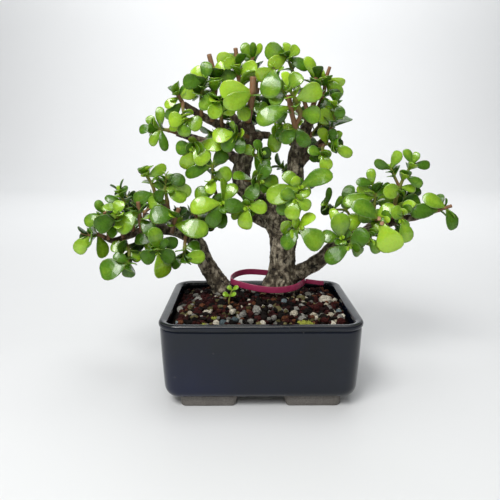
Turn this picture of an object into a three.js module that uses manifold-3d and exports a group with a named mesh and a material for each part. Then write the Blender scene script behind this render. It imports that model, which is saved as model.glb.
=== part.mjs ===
// Dwarf jade bonsai in a rounded-rectangular glazed pot. Millimetres, +Z up, feet on z = 0,
// +X to the viewer's right and +Y away from the viewer.
import * as THREE from 'three';
import { mergeVertices } from 'three/addons/utils/BufferGeometryUtils.js';
import Module from 'manifold-3d';

const wasm = await Module();
wasm.setup();

// Driving dimensions of the pot
const pot = {
  width: 155,
  depth: 120,
  height: 68.9,
  cornerRadius: 15.8,
  undersideZ: 8.7,
  bottomInset: 2.6,
  bottomRound: 8,
  cornerSteps: 3,
  wall: 7,
  floor: 6,
  lipHeight: 4.5,
  lipProud: 0.8,
  footInsetX: 15.3,
  footInsetY: 8.3,
  footWidth: 45,
  footDepth: 24,
  footRound: 5,
  drainRadius: 6,
  drainX: 30,
};
const gap = 0.3; // between neighbouring solids that touch
const woodRoom = gap + 0.05; // between the wood and the leafy stems on it, whose sides are facets
const leafOverlap = 1.5; // cubic millimetres that two leaves of one stem may share where they start

// The tree is laid out as it is seen from the front: a place is the x and z where the line of sight meets
// the pot's middle plane, and how far behind that plane it really lies.
const eye = new THREE.Vector3(-13, -388, 199);

function place([x, z, depth]) {
  const onPlane = new THREE.Vector3(x, 0, z);
  return onPlane.sub(eye).multiplyScalar(1 + depth / -eye.y).add(eye);
}

// A repeatable draw between 0 and 1
function makeDraw(seed) {
  let state = seed;
  return () => {
    state = (state * 16807) % 2147483647;
    return state / 2147483647;
  };
}

// Solids from corner points and faces, and back to geometry
function solidFrom(points, faces) {
  const mesh = new wasm.Mesh({
    numProp: 3,
    vertProperties: new Float32Array(points.flatMap((p) => [p.x, p.y, p.z])),
    triVerts: new Uint32Array(faces.flat()),
  });
  return new wasm.Manifold(mesh);
}

function solidFromGeometry(geometry) {
  geometry.deleteAttribute('normal');
  geometry.deleteAttribute('uv');
  const merged = mergeVertices(geometry, 1e-4);
  const mesh = new wasm.Mesh({
    numProp: 3,
    vertProperties: new Float32Array(merged.attributes.position.array),
    triVerts: new Uint32Array(merged.index.array),
  });
  return new wasm.Manifold(mesh);
}

function boxSolid(low, high) {
  const geometry = new THREE.BoxGeometry(high[0] - low[0], high[1] - low[1], high[2] - low[2]);
  geometry.translate((low[0] + high[0]) / 2, (low[1] + high[1]) / 2, (low[2] + high[2]) / 2);
  return solidFromGeometry(geometry);
}

function geometryFrom(solid) {
  const { numProp, vertProperties, triVerts } = solid.getMesh();
  const positions = new Float32Array((vertProperties.length / numProp) * 3);
  for (let i = 0; i < positions.length / 3; i += 1) {
    positions.set(vertProperties.subarray(i * numProp, i * numProp + 3), i * 3);
  }
  const geometry = new THREE.BufferGeometry();
  geometry.setAttribute('position', new THREE.BufferAttribute(positions, 3));
  geometry.setIndex([...triVerts]);
  geometry.computeVertexNormals();
  return geometry;
}

function largestBody(solid) {
  return solid.decompose().reduce((best, body) => (body.volume() > best.volume() ? body : best));
}

function joined(solids) {
  return solids.reduce((sum, solid) => sum.add(solid));
}

// Rings of equal count joined into a closed skin, with a point or a flat fan at each end
function skin(rings, startPoint, endPoint) {
  const points = [...rings.flat(), startPoint, endPoint];
  const count = rings[0].length;
  const start = rings.length * count;
  const end = start + 1;
  const faces = [];
  for (let i = 0; i < count; i += 1) {
    const j = (i + 1) % count;
    faces.push([start, j, i]);
    for (let k = 0; k + 1 < rings.length; k += 1) {
      const a = k * count + i;
      const b = k * count + j;
      faces.push([a, b, b + count], [a, b + count, a + count]);
    }
    faces.push([end, end - 1 - count + i, end - 1 - count + j]);
  }
  return solidFrom(points, faces);
}

// A ring of the pot: a rectangle with round corners at height z
function roundedRing(width, depth, radius, z, stepsPerCorner) {
  const ring = [];
  for (let corner = 0; corner < 4; corner += 1) {
    const cx = (corner === 0 || corner === 3 ? 1 : -1) * (width / 2 - radius);
    const cy = (corner < 2 ? 1 : -1) * (depth / 2 - radius);
    for (let i = 0; i <= stepsPerCorner; i += 1) {
      const angle = (corner + i / stepsPerCorner) * (Math.PI / 2);
      ring.push(new THREE.Vector3(cx + radius * Math.cos(angle), cy + radius * Math.sin(angle), z));
    }
  }
  return ring;
}

// The pot's own outline, moved inwards
function potRing([inset, z]) {
  const radius = Math.max(pot.cornerRadius - inset, 2);
  return roundedRing(pot.width - 2 * inset, pot.depth - 2 * inset, radius, z, pot.cornerSteps);
}

function stackedRings(levels) {
  const rings = levels.map(potRing);
  const bottom = new THREE.Vector3(0, 0, levels[0][1]);
  const top = new THREE.Vector3(0, 0, levels.at(-1)[1]);
  return skin(rings, bottom, top);
}

// Pot: tapered body with a round lower edge, a proud lip band, a hollow, feet and drain holes
function outsideInset(z) {
  const share = (z - pot.undersideZ) / (pot.height - pot.undersideZ);
  return pot.bottomInset * (1 - share) ** 1.6 + pot.lipProud;
}

function makePot() {
  const { undersideZ: low, bottomRound: r, height, lipHeight } = pot;
  const lipLow = height - lipHeight;
  const roundedEdge = [0, 0.35, 0.7, 1].map((t) => {
    const angle = (t * Math.PI) / 2;
    const z = low + r * (1 - Math.cos(angle));
    return [outsideInset(z) + r * 0.6 * (1 - Math.sin(angle)), z];
  });
  const middleZ = low + 0.55 * (height - low);
  const body = stackedRings([
    ...roundedEdge,
    [outsideInset(middleZ), middleZ],
    [pot.lipProud + 0.3, lipLow - 0.8],
    [0, lipLow],
    [0, height - 1.2],
    [1.4, height],
  ]);
  const floorTop = low + pot.floor;
  const hollow = stackedRings([
    [pot.wall + 6, floorTop],
    [pot.wall + 2, floorTop + 6],
    [pot.wall, height - 1.4],
    [pot.wall - 1.2, height + 0.5],
  ]);
  return joined([body, ...makeFeet()]).subtract(hollow).subtract(drainHole(-1)).subtract(drainHole(1));
}

function makeFeet() {
  const feet = [];
  for (const sideX of [-1, 1]) {
    for (const sideY of [-1, 1]) {
      const outline = new THREE.Shape();
      const { footWidth: w, footDepth: d, footRound: r } = pot;
      outline.moveTo(-w / 2 + r, -d / 2);
      outline.lineTo(w / 2 - r, -d / 2);
      outline.absarc(w / 2 - r, -d / 2 + r, r, -Math.PI / 2, 0);
      outline.lineTo(w / 2, d / 2);
      outline.lineTo(-w / 2, d / 2);
      outline.absarc(-w / 2 + r, -d / 2 + r, r, Math.PI, Math.PI * 1.5);
      const foot = new THREE.ExtrudeGeometry(outline, {
        depth: pot.undersideZ + 2,
        bevelEnabled: false,
        curveSegments: 2,
      });
      foot.rotateZ(sideY < 0 ? 0 : Math.PI);
      const x = sideX * (pot.width / 2 - pot.footInsetX - w / 2);
      const y = sideY * (pot.depth / 2 - pot.footInsetY - d / 2);
      foot.translate(x, y, 0);
      feet.push(solidFromGeometry(foot));
    }
  }
  return feet;
}

function drainHole(side) {
  const hole = new THREE.CylinderGeometry(pot.drainRadius, pot.drainRadius, 30, 10);
  hole.rotateX(Math.PI / 2);
  hole.translate(side * pot.drainX, 0, pot.undersideZ);
  return solidFromGeometry(hole);
}

// Drain mesh: a square of plastic mesh that lies on the pot's floor over each hole
const drainMesh = { side: 27, thickness: 1.4, holes: 2, holeSide: 8, pitch: 11 };

function drainMeshBox(side, margin) {
  const half = drainMesh.side / 2 + margin;
  const z = pot.undersideZ + pot.floor + gap;
  const x = side * pot.drainX;
  return boxSolid([x - half, -half, z - margin], [x + half, half, z + drainMesh.thickness + margin]);
}

function makeDrainMesh(side) {
  let mesh = drainMeshBox(side, 0);
  const z = pot.undersideZ + pot.floor;
  for (let i = 0; i < drainMesh.holes; i += 1) {
    for (let j = 0; j < drainMesh.holes; j += 1) {
      const x = side * pot.drainX + (i - 0.5) * drainMesh.pitch - drainMesh.holeSide / 2;
      const y = (j - 0.5) * drainMesh.pitch - drainMesh.holeSide / 2;
      const high = [x + drainMesh.holeSide, y + drainMesh.holeSide, z + 4];
      mesh = mesh.subtract(boxSolid([x, y, z - 1], high));
    }
  }
  return mesh;
}

// A tube through hand-placed points, with a radius at each and a few smooth steps between them.
// The frame is carried along without twist. A cut end is flat, a bud end is pointed.
function tube(points, radii, { sides, steps, grow = 0, end = 'cut' }) {
  const curve = new THREE.CatmullRomCurve3(points, false, 'centripetal');
  const count = (points.length - 1) * steps;
  const rings = [];
  const across = new THREE.Vector3(1, 0.2, 0.1);
  for (let i = 0; i <= count; i += 1) {
    const t = i / count;
    const at = curve.getPoint(t);
    const along = curve.getTangent(t);
    across.addScaledVector(along, -across.dot(along)).normalize();
    const other = new THREE.Vector3().crossVectors(along, across);
    const run = t * (points.length - 1);
    const index = Math.min(Math.floor(run), points.length - 2);
    const radius = THREE.MathUtils.lerp(radii[index], radii[index + 1], run - index) + grow;
    if (i === 0) {
      at.addScaledVector(along, -grow);
    }
    if (i === count) {
      at.addScaledVector(along, grow);
    }
    const ring = [];
    for (let k = 0; k < sides; k += 1) {
      const angle = ((k + 0.5) / sides) * Math.PI * 2;
      ring.push(at.clone()
        .addScaledVector(across, radius * Math.cos(angle))
        .addScaledVector(other, radius * Math.sin(angle)));
    }
    rings.push(ring);
  }
  const first = curve.getPoint(0).addScaledVector(curve.getTangent(0), -grow);
  const reach = end === 'bud' ? radii.at(-1) * 1.6 : 0;
  const last = curve.getPoint(1).addScaledVector(curve.getTangent(1), grow + reach);
  return skin(rings, first, last);
}

// Wood: each limb is a list of [x, z, depth, radius], from where it leaves its parent
const mainLimbs = {
  trunk: [[16.5, 52, 17, 15.5], [16.5, 79, 19, 15.8], [18, 89, 20, 12.6], [18.7, 100, 20, 10.9],
    [19, 112, 20, 11], [19, 124, 20, 11.8], [16.5, 138, 20, 12.2], [13, 147, 21, 8]],
  upperLeft: [[15, 132, 20, 10.5], [5, 147, 24, 9.6], [-8, 159, 27, 9], [-15, 170, 27, 8.6],
    [-14, 182, 25, 7.6], [-9, 196, 22, 5.6], [-8, 208, 20, 4.4], [-12, 218, 18, 3.4]],
  upperRight: [[20, 130, 20, 10], [26, 148, 21, 8.6], [29, 168, 19, 6.8], [27.5, 186, 18, 6.4],
    [31.5, 201, 17, 5.6], [38, 215, 16, 4.2], [39, 222, 15, 3.4]],
  rightFork: [[30, 180, 18, 4], [37, 188, 18, 3.4], [44, 195, 17, 3], [53, 205, 16, 2.4]],
  lowRight: [[16, 87, 20, 9], [30, 91.5, 19, 7], [42.5, 98.4, 18, 6.8], [51, 104.2, 17, 6.5],
    [57.5, 111, 16, 6], [66, 118.4, 15, 5.4], [78, 124, 14, 4.6], [90, 128, 13, 4.1],
    [104, 134, 12, 3.7], [118, 138, 12, 3.1], [130, 140, 12, 2.6], [141, 143.5, 12, 2.2]],
  lowLeftBack: [[12, 132, 24, 6], [-10, 142, 34, 4.6], [-33, 147, 38, 3.6], [-50, 144, 42, 2.6]],
  leftmost: [[-14, 182, 26, 4.8], [-28, 192, 30, 4.2], [-45, 199.5, 31, 3.8], [-66, 206, 30, 2.7]],
  leftUpper: [[-9, 199, 22, 4.2], [-25, 208, 22, 3.9], [-38, 215, 20, 3.6], [-51, 222, 18, 3.2],
    [-60, 228, 17, 2.6]],
  leftFork: [[-12, 205, 21, 3.6], [-17, 213, 23, 3.2], [-23, 221, 25, 2.6]],
  innerTwig: [[-9, 202, 21, 3.4], [-1, 204.5, 19, 3.5], [8, 204.5, 17, 3]],
  backLeft: [[-13, 184, 27, 4.4], [-12, 194, 42, 3.4], [-14, 204, 56, 2.6]],
  backRight: [[29, 176, 20, 4.6], [34, 190, 36, 3.4], [38, 201, 54, 2.6]],
  backLow: [[27, 150, 22, 4.6], [34, 158, 40, 3.2], [38, 165, 56, 2.4]],
  rightBack: [[84, 126, 14, 3.6], [96, 138, 28, 2.8], [104, 146, 40, 2.2]],
};
const leftLimbs = {
  trunk: [[-29, 52, 20, 9.2], [-31, 78, 21, 9.4], [-38.2, 90, 22, 8], [-44.2, 100, 21, 7.5],
    [-47.6, 108, 20, 6.9], [-50.5, 117, 20, 6.6], [-58.5, 124, 19, 5.8], [-68, 128, 18, 5],
    [-82, 129, 17, 4.2], [-97, 128, 16, 3.5], [-110, 123, 15, 2.9], [-121, 120, 15, 2.5],
    [-128, 123, 14, 2.1]],
  riser: [[-64, 127, 18, 4], [-72, 139, 20, 3.3], [-80, 151, 19, 2.6]],
  back: [[-76, 129, 18, 3.8], [-86, 137, 32, 3], [-93, 142, 46, 2.3]],
};

function limbSolid(limb, options) {
  const points = limb.map(place);
  const radii = limb.map((row) => row[3]);
  return tube(points, radii, options);
}

function makeWood(limbs, grow) {
  const solids = Object.entries(limbs).map(([name, limb]) => {
    const trunk = name === 'trunk';
    const sides = trunk ? 8 : Math.max(4, Math.min(7, Math.round(limb[0][3])));
    return limbSolid(limb, { sides, steps: 1, grow });
  });
  return joined(solids);
}

// Leaf: a fleshy obovate blade. Its outline widens from a point in the stem to two thirds of its length
// and ends in a short edge. Each face is a low roof with its top at the widest place, the rims are raised
// and the tip curls down a little.
const leafShape = {
  farAt: 0.68,
  topAt: 0.6,
  tipWidth: 0.54,
  thickness: 2,
  bow: 0.07,
  rimLift: 0.07,
  tipDrop: 0.03,
};

function leafPoints(base, tip, normal, width, grow = 0) {
  const s = leafShape;
  const along = tip.clone().sub(base);
  const length = along.length();
  along.normalize();
  const up = normal.clone().addScaledVector(along, -normal.dot(along)).normalize();
  const side = new THREE.Vector3().crossVectors(along, up);
  const half = s.thickness / 2 + 1.3 * grow;
  const at = (t, across, lift) => base.clone()
    .addScaledVector(along, t * (length + 2 * grow) - grow)
    .addScaledVector(side, across * (width / 2 + grow))
    .addScaledVector(up, lift);
  const bow = s.bow * length;
  const rim = bow + s.rimLift * width;
  return [
    at(0, 0, 0),
    at(s.farAt, -1, rim),
    at(s.farAt, 1, rim),
    at(s.topAt, 0, bow + half),
    at(s.topAt, 0, bow - half),
    at(1, -s.tipWidth, -s.tipDrop * length),
    at(1, s.tipWidth, -s.tipDrop * length),
  ];
}

// Both faces are fans from their top over the whole rim
const leafRim = [0, 1, 5, 6, 2];
const leafFaces = leafRim.flatMap((corner, i) => {
  const next = leafRim[(i + 1) % leafRim.length];
  return [[next, corner, 3], [corner, next, 4]];
});

function leafSolid(leaf, grow = 0) {
  return solidFrom(leafPoints(leaf.base, leaf.tip, leaf.normal, leaf.width, grow), leafFaces);
}

// Leafy stems. Each has shoots: a list of [x, z, depth] nodes from the wood outwards, the thickness at both
// ends and whether it ends in a cut stub or a bud. Leaves placed by hand are
// [node, tip x, tip z, tip's extra depth, width, roll]: roll 0 turns the blade's upper face to the viewer.
// 'fill' is how many opposite pairs the shoot carries besides, each pair turned a quarter from the last.
const sprays = [
  // Left pad
  { name: 'far_left', shoots: [{ path: [[-127, 123, 14], [-133, 125, 12], [-139, 125, 10], [-146, 127, 10]],
    r: [1.9, 1.5], end: 'cut', fill: 2, leaves: [[2, -151, 109, -3, 12, 10], [1, -130, 105, -4, 12, 0]] }] },
  { name: 'left_upper_outer', shoots: [{ path: [[-124, 121, 14], [-124, 133, 10], [-126, 144, 6]],
    r: [1.8, 1.4], end: 'cut', fill: 3, leaves: [[2, -143, 134, -3, 12, 10],
      [2, -132, 153, -1, 8, 0]] }] },
  { name: 'left_low_outer', shoots: [{ path: [[-112, 122, 14], [-108, 112, 4], [-108, 101, -2]],
    r: [1.7, 1.2], end: 'bud', fill: 2, leaves: [[2, -133, 92, -3, 19, 5], [2, -121, 108, -1, 9, 0],
      [1, -99, 103, -1, 10, 0], [1, -108, 88, 2, 11, 65],
      [1, -123, 115, -2, 11, 0], [1, -97, 109, 10, 12, 0]] }] },
  { name: 'left_twig', shoots: [{ path: [[-103, 126, 15], [-104, 138, 12], [-107.5, 148, 10], [-111, 155, 9],
    [-112, 159, 9]], r: [1.6, 0.9], end: 'bud', fill: 2, leaves: [[3, -114.5, 165, -1, 6, 20],
    [3, -107, 165, 1, 5, 0], [2, -125, 156, -2, 8, 15], [2, -129, 146, -3, 8, 30]] }] },
  { name: 'left_middle', shoots: [{ path: [[-112, 123, 12], [-114, 132, 2], [-116, 141, -2]],
    r: [1.6, 1.2], end: 'bud', fill: 1, leaves: [[2, -134, 129, -3, 15, 5], [1, -124, 124, -1, 10, 0],
      [2, -112, 153, 3, 10, 0]] }] },
  { name: 'left_stub', shoots: [{ path: [[-97, 128, 12], [-97.5, 138, 5], [-98, 145, 3], [-98.5, 152, 3]],
    r: [1.9, 1.8], end: 'cut', fill: 1, leaves: [[2, -116, 127, -6, 17, 5], [1, -86, 124, -5, 12, 10]] }] },
  { name: 'left_top', shoots: [{ path: [[-79, 150, 18], [-84, 158, 14], [-86.5, 166, 12], [-90, 172, 11],
    [-91, 176, 11]], r: [1.8, 1], end: 'bud', fill: 1, leaves: [[1, -102.5, 153, -4, 12, 10],
    [2, -70, 166, -3, 12, 0], [3, -95, 174, 0, 7, 20], [3, -75, 181, -1, 9, 0]] }] },
  { name: 'left_front_stub', shoots: [{ path: [[-72, 127, 14], [-70.5, 134, 6], [-68, 141, 2],
      [-65.5, 147, 2]],
    r: [1.9, 1.8], end: 'cut', fill: 1, leaves: [[2, -90, 140, -5, 17, 0], [1, -93, 134, 3, 9, 60],
      [1, -42, 128, -4, 17, 5]] }] },
  { name: 'left_hanging', shoots: [{ path: [[-83, 128, 14], [-84, 120, 2], [-84, 112, -4]],
    r: [1.8, 1.3], end: 'bud', fill: 1, leaves: [[2, -88, 131, -5, 13, 0], [2, -75.5, 121, -1, 7, 0],
      [2, -98, 103, -2, 13, 10], [2, -70, 104, -3, 13, 5], [2, -81, 88, 0, 17, 0],
      [1, -103, 121, 2, 11, 0], [1, -95, 113, 3, 9, 0], [1, -67, 118, 3, 11, 0]] }] },
  { name: 'left_inner_low', shoots: [{ path: [[-61, 124, 14], [-62, 114, 6], [-63, 105, 3]],
    r: [1.6, 1.2], end: 'bud', fill: 1, leaves: [[2, -45, 107, -2, 12, 10], [2, -73, 97, -2, 9, 10],
      [1, -49, 116, 3, 11, 0]] }] },
  { name: 'left_inner_high', shoots: [{ path: [[-73, 140, 16], [-75, 152, 8], [-76, 163, 4],
      [-75.5, 172, 3]],
    r: [1.7, 1.1], end: 'bud', fill: 1, leaves: [[3, -60, 167, -3, 11, 0],
      [2, -60, 153, -2, 13, 0], [2, -55, 160, 2, 12, 0], [1, -91, 150, 1, 12, 0],
      [2, -84, 152, 2, 10, 0]] }] },
  { name: 'left_back', shoots: [{ path: [[-92, 141, 44], [-94, 143.5, 50], [-101, 150, 52], [-108, 156, 53]],
    r: [1.9, 1.2], end: 'bud', fill: 3, leaves: [] },
  { path: [[-94, 143.5, 50], [-86, 149, 55], [-80, 155, 60]], r: [1.5, 1.1], end: 'cut', fill: 2,
      leaves: [] },
  { path: [[-94, 143.5, 50], [-95, 134, 56], [-98, 126, 61]], r: [1.5, 1.1], end: 'bud', fill: 2,
      leaves: [] }] },
  // Middle
  { name: 'middle_left', shoots: [{ path: [[-33, 147, 36], [-32, 149, 20], [-31, 150.5, 8]],
    r: [1.8, 1.3], end: 'bud', fill: 1, leaves: [[2, -57, 146, -5, 15, 5], [2, -30.5, 171, -1, 12, 60],
      [2, -19, 166, 1, 12, 0], [2, -42, 131, -3, 13, 0], [1, -31, 130, -8, 12, 10]] },
  { path: [[-32, 149, 20], [-36, 160, 15], [-38, 171, 13], [-38, 181, 12]], r: [1.5, 1.1], end: 'bud',
    fill: 0, leaves: [[1, -53, 157, -2, 13, 0], [3, -60, 173, -2, 10, 0], [2, -23, 177, -1, 13, 0],
      [3, -49, 190, 2, 12, 0], [3, -27, 192, 0, 12, 0], [2, -39, 158, -8, 11, 0]] }] },
  { name: 'middle_back_left', shoots: [{ path: [[-49, 144, 41], [-58, 142, 43], [-66, 140, 44]],
    r: [1.7, 1.1], end: 'bud', fill: 3, leaves: [] },
  { path: [[-54, 143, 42.5], [-50, 138, 52], [-46, 134, 60]], r: [1.5, 1.1], end: 'bud', fill: 3,
      leaves: [] }] },
  { name: 'middle_front', shoots: [{ path: [[-2, 153, 22], [-7, 151, 12], [-10, 148, 4]],
    r: [1.8, 1.3], end: 'bud', fill: 0, leaves: [[2, -29, 150, -3, 13, 5], [2, -11, 129, -2, 14, 0],
      [2, 6, 147, -4, 12, 5], [1, -8, 164, -4, 10, 5], [1, -23, 138, -2, 9, 0]] }] },
  { name: 'middle_pair', shoots: [{ path: [[-14, 170, 22], [-6, 169, 12], [-1, 168, 6]],
    r: [1.8, 1.3], end: 'bud', fill: 0, leaves: [[1, -21, 156, -4, 13, 0], [2, -10, 154, -6, 12, 0],
      [2, 8, 181, -2, 9, 10], [2, 15, 168, 4, 12, 0],
      [2, 16, 178, 5, 10, 0]] }] },
  { name: 'middle_small', shoots: [{ path: [[-11, 190, 20], [-5, 189, 12], [0, 190, 8]],
    r: [1.5, 1], end: 'bud', fill: 1, leaves: [[2, 3, 178, -2, 9, 0], [2, -4, 201, -2, 8, 0],
      [1, 0, 176, -2, 10, 0], [1, -13, 196, -1, 9, 0]] }] },
  { name: 'middle_right_high', shoots: [{ path: [[27, 158, 18], [30, 161, 6], [32, 163, -3]],
    r: [1.8, 1.3], end: 'bud', fill: 0, leaves: [[2, 5, 155, -5, 17, 5], [2, 18, 175, 0, 11, 10],
      [2, 58, 175, -4, 14, 10]] },
  { path: [[30, 161, 6], [30, 157, -3], [29, 154, -10]],
    r: [1.5, 1.2], end: 'bud', fill: 0, leaves: [[2, 26, 137, -3, 13, 5], [2, 41, 147, -2, 10, 10],
      [1, 14, 143, -6, 12, 0], [2, 17, 161, -3, 10, 0]] }] },
  { name: 'trunk_front', shoots: [{ path: [[21, 127, 14], [27, 129, 0], [32, 130, -9]],
    r: [1.7, 1.3], end: 'bud', fill: 0, leaves: [[2, 40, 145, -3, 11, 0], [1, 20, 142, -10, 12, 0],
      [2, 20, 113, -3, 14, 5], [2, 51, 114, -4, 18, 5]] }] },
  // Right pad
  { name: 'right_node_low', shoots: [{ path: [[76, 123, 12], [75.5, 119, 3], [74.5, 115, -6]],
    r: [1.6, 1.3], end: 'bud', fill: 0, leaves: [[2, 55, 102, -3, 14, 5], [2, 88, 129, -4, 15, 5],
      [1, 84, 108, 4, 11, 0]] }] },
  { name: 'right_large', shoots: [{ path: [[66, 119, 13], [67, 121, 4], [67.5, 122, -2]],
    r: [1.5, 1.3], end: 'bud', fill: 0, leaves: [[2, 64, 143, -3, 17, 0], [2, 58, 147, 4, 9, 0],
      [1, 81, 142, 5, 13, 0], [1, 50, 125, 4, 12, 0]] }] },
  { name: 'right_front', shoots: [{ path: [[91, 129, 11], [91.5, 125, 3], [91, 122, -3]],
    r: [1.5, 1.2], end: 'bud', fill: 0, leaves: [[2, 100, 110, -2, 11, 10], [2, 79, 115, 2, 9, 0],
      [1, 102, 127, 2, 9, 0]] }] },
  { name: 'right_shield', shoots: [{ path: [[104, 134, 10], [102, 135, 0], [100, 134.5, -7]],
    r: [1.7, 1.4], end: 'cut', fill: 0, leaves: [[2, 113, 111, -3, 22, 0], [1, 92, 144, 0, 12, 0]] }] },
  { name: 'right_end', shoots: [{ path: [[140, 143.4, 12], [146, 145.6, 10], [151.5, 147.5, 9],
      [156, 149, 9]],
    r: [1.8, 1.5], end: 'cut', fill: 0, leaves: [[2, 132, 157, 0, 12, 15], [1, 123, 143, -6, 13, 10],
      [2, 160, 129, -2, 12, 0], [1, 146, 159, 4, 8, 0]] }] },
  { name: 'right_tall', shoots: [{ path: [[108, 136, 12], [109, 144, 11], [110, 153, 10], [112.5, 164, 9],
    [116, 173, 8], [121, 182, 8]], r: [2, 1.1], end: 'bud', fill: 1, leaves: [[5, 114, 194, 1, 8, 20],
    [5, 125, 192, -1, 7, 10], [5, 136, 182, 0, 8, 10], [4, 131, 165, -2, 8, 15],
    [3, 93, 162, -3, 13, 0], [3, 126, 162, 1, 7, 0]] },
  { path: [[112.5, 164, 9], [108, 172, 8], [104.5, 179, 8]], r: [1.3, 1], end: 'bud', fill: 0,
    leaves: [[2, 91, 185, -1, 8, 0], [2, 110, 193, 1, 9, 0]] }] },
  { name: 'right_inner_tall', shoots: [{ path: [[93, 130, 12], [93, 144, 9], [93, 156, 7], [91, 166, 6]],
    r: [1.7, 1], end: 'bud', fill: 1, leaves: [[3, 88, 179, 0, 8, 10], [3, 77, 168, -2, 8, 0],
      [2, 67, 151, -4, 13, 5], [2, 105, 167, 2, 8, 0], [2, 78, 164, 2, 9, 0]] },
  { path: [[93, 137, 10.5], [95, 138, 2], [97.5, 138.5, -6]],
    r: [1.6, 1.5], end: 'cut', fill: 0, leaves: [[2, 74, 150, -4, 15, 5], [1, 110, 149, -2, 12, 0],
      [1, 80, 142, 2, 12, 0]] }] },
  { name: 'right_thin_twig', shoots: [{ path: [[76, 123, 17], [75, 136, 22], [70, 145, 20], [60, 146, 17],
    [54, 149, 16]], r: [1.4, 0.8], end: 'bud', fill: 1, leaves: [[3, 66, 157, 0, 6, 30],
    [4, 56, 164, 1, 6, 20], [2, 82, 160, 2, 9, 0],
      [2, 73, 166, 3, 11, 0]] }] },
  { name: 'right_dark', shoots: [{ path: [[112, 138, 14], [113, 142, 18], [112, 147, 20]],
    r: [1.6, 1.2], end: 'bud', fill: 2, leaves: [[2, 96, 157, 2, 14, 0], [2, 130, 154, -2, 15, 0]] },
  { path: [[113, 142, 18], [116, 143, 6], [116, 138, -4]],
    r: [1.5, 1.2], end: 'bud', fill: 0, leaves: [[2, 121, 118, -2, 12, 0], [2, 104, 143, -1, 12, 0],
      [1, 128, 148, 2, 10, 0]] }] },
  { name: 'right_back', shoots: [{ path: [[103, 145, 39], [106, 148, 44], [113, 153, 46], [120, 158, 47]],
    r: [1.8, 1.1], end: 'bud', fill: 3, leaves: [] },
  { path: [[106, 148, 44], [98, 153, 49], [91, 158, 53]], r: [1.5, 1.1], end: 'cut', fill: 2, leaves: [] },
  { path: [[106, 148, 44], [109, 139, 51], [113, 131, 56]], r: [1.5, 1.1], end: 'bud',
    fill: 2, leaves: [] }] },
  // Crown
  { name: 'crown_leftmost', shoots: [{ path: [[-65, 206, 30], [-72, 208, 27], [-78, 209, 25],
      [-83, 210, 24]],
    r: [1.8, 1.1], end: 'bud', fill: 1, leaves: [[3, -87, 219, 0, 8, 0], [3, -95, 207, 0, 8, 10],
      [2, -86, 196, -3, 8, 10], [2, -75, 192, -3, 8, 0], [2, -78, 226, 0, 8, 10],
      [1, -62, 214, -4, 10, 0]] }] },
  { name: 'crown_left_stub', shoots: [{ path: [[-60, 228, 17], [-63, 233, 14], [-66.5, 240, 13]],
    r: [1.8, 1.6], end: 'cut', fill: 1, leaves: [[1, -74, 225, -3, 8, 0], [1, -50, 238, -3, 10, 0],
      [1, -56, 242, -1, 6, 0]] },
  { path: [[-60.5, 229, 15.5], [-60, 222, 8], [-58, 216, 4]], r: [1.5, 1.1], end: 'bud', fill: 0,
    leaves: [[0, -74, 217, -4, 9, 0], [2, -72, 215, -2, 13, 0], [2, -46, 211, -2, 13, 0],
      [2, -60, 203, -1, 12, 0]] }] },
  { name: 'crown_left_low', shoots: [{ path: [[-45, 199, 28], [-50, 197, 18], [-53, 195, 11]],
    r: [1.7, 1.2], end: 'bud', fill: 1, leaves: [[2, -67, 194, -2, 12, 0], [2, -43, 182, -3, 16, 5],
      [1, -31, 186, -4, 13, 0], [2, -61, 178, 0, 13, 0]] }] },
  { name: 'crown_left_tall', shoots: [{ path: [[-38, 215, 18], [-37, 226, 14], [-35.5, 238, 12],
    [-36.5, 252, 11], [-39.5, 264, 11]], r: [2.1, 1.9], end: 'cut', fill: 3,
      leaves: [[2, -50, 223, -4, 11, 30],
    [3, -27, 256, -3, 9, 0], [2, -57, 226, 0, 10, 50]] }] },
  { name: 'crown_left_bright', shoots: [{ path: [[-46, 219, 16], [-46, 232, 9], [-43.5, 245, 5]],
    r: [1.6, 1.1], end: 'bud', fill: 1, leaves: [[2, -60, 243, -3, 12, 0], [2, -41, 259, 0, 10, 5],
      [2, -52, 254, 1, 11, 0], [1, -52, 241, -2, 8, 30]] }] },
  { name: 'crown_left_inner', shoots: [{ path: [[-30, 211, 19], [-31, 221, 10], [-31.5, 229.5, 5]],
    r: [1.6, 1.2], end: 'bud', fill: 1, leaves: [[2, -44, 219, -3, 12, 0], [1, -20, 226, -4, 12, 0]] }] },
  { name: 'crown_middle_low', shoots: [{ path: [[-9, 203, 18], [-15, 205, 11], [-20, 205.5, 7]],
    r: [1.6, 1.2], end: 'bud', fill: 1, leaves: [[2, -38, 203, -2, 13, 0], [2, -29, 192, -3, 11, 0],
      [1, -16, 190, -5, 10, 0]] }] },
  { name: 'crown_hero', shoots: [{ path: [[-10, 215, 15], [-8, 226, 5], [-6.5, 237, -1], [-6, 248, -1]],
    r: [2.6, 2.5], end: 'cut', fill: 0, leaves: [[2, -32, 239, -5, 16, 0], [2, -29, 227, -7, 14, 5],
      [1, -17, 217, -6, 12, 0], [1, 6, 222, 0, 12, 0]] }] },
  { name: 'crown_top_left', shoots: [{ path: [[-12.5, 220, 19], [-15, 236, 17], [-17.5, 250, 15],
    [-18.5, 261, 14], [-19.5, 268.5, 14]], r: [1.9, 1.7], end: 'cut', fill: 3, leaves: [
    [3, -34, 261, -3, 11, 0], [2, -3, 257, -4, 11, 0], [3, -30, 254, -1, 9, 0],
      [2, -33, 247, -4, 12, 10]] }] },
  { name: 'crown_top', shoots: [{ path: [[-10, 222, 22], [-4, 240, 24], [-5, 252, 23], [-6.5, 260, 22],
    [-4.5, 268.5, 22]], r: [1.9, 1.7], end: 'cut', fill: 3, leaves: [[3, 0, 272, 0, 6, 40],
      [3, -14, 272, -2, 9, 0], [3, -8, 273, -3, 7, 0]] }] },
  { name: 'crown_shiny', shoots: [{ path: [[37, 216, 12], [26, 226, 14], [14, 240, 10], [9.5, 254, 2]],
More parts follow.
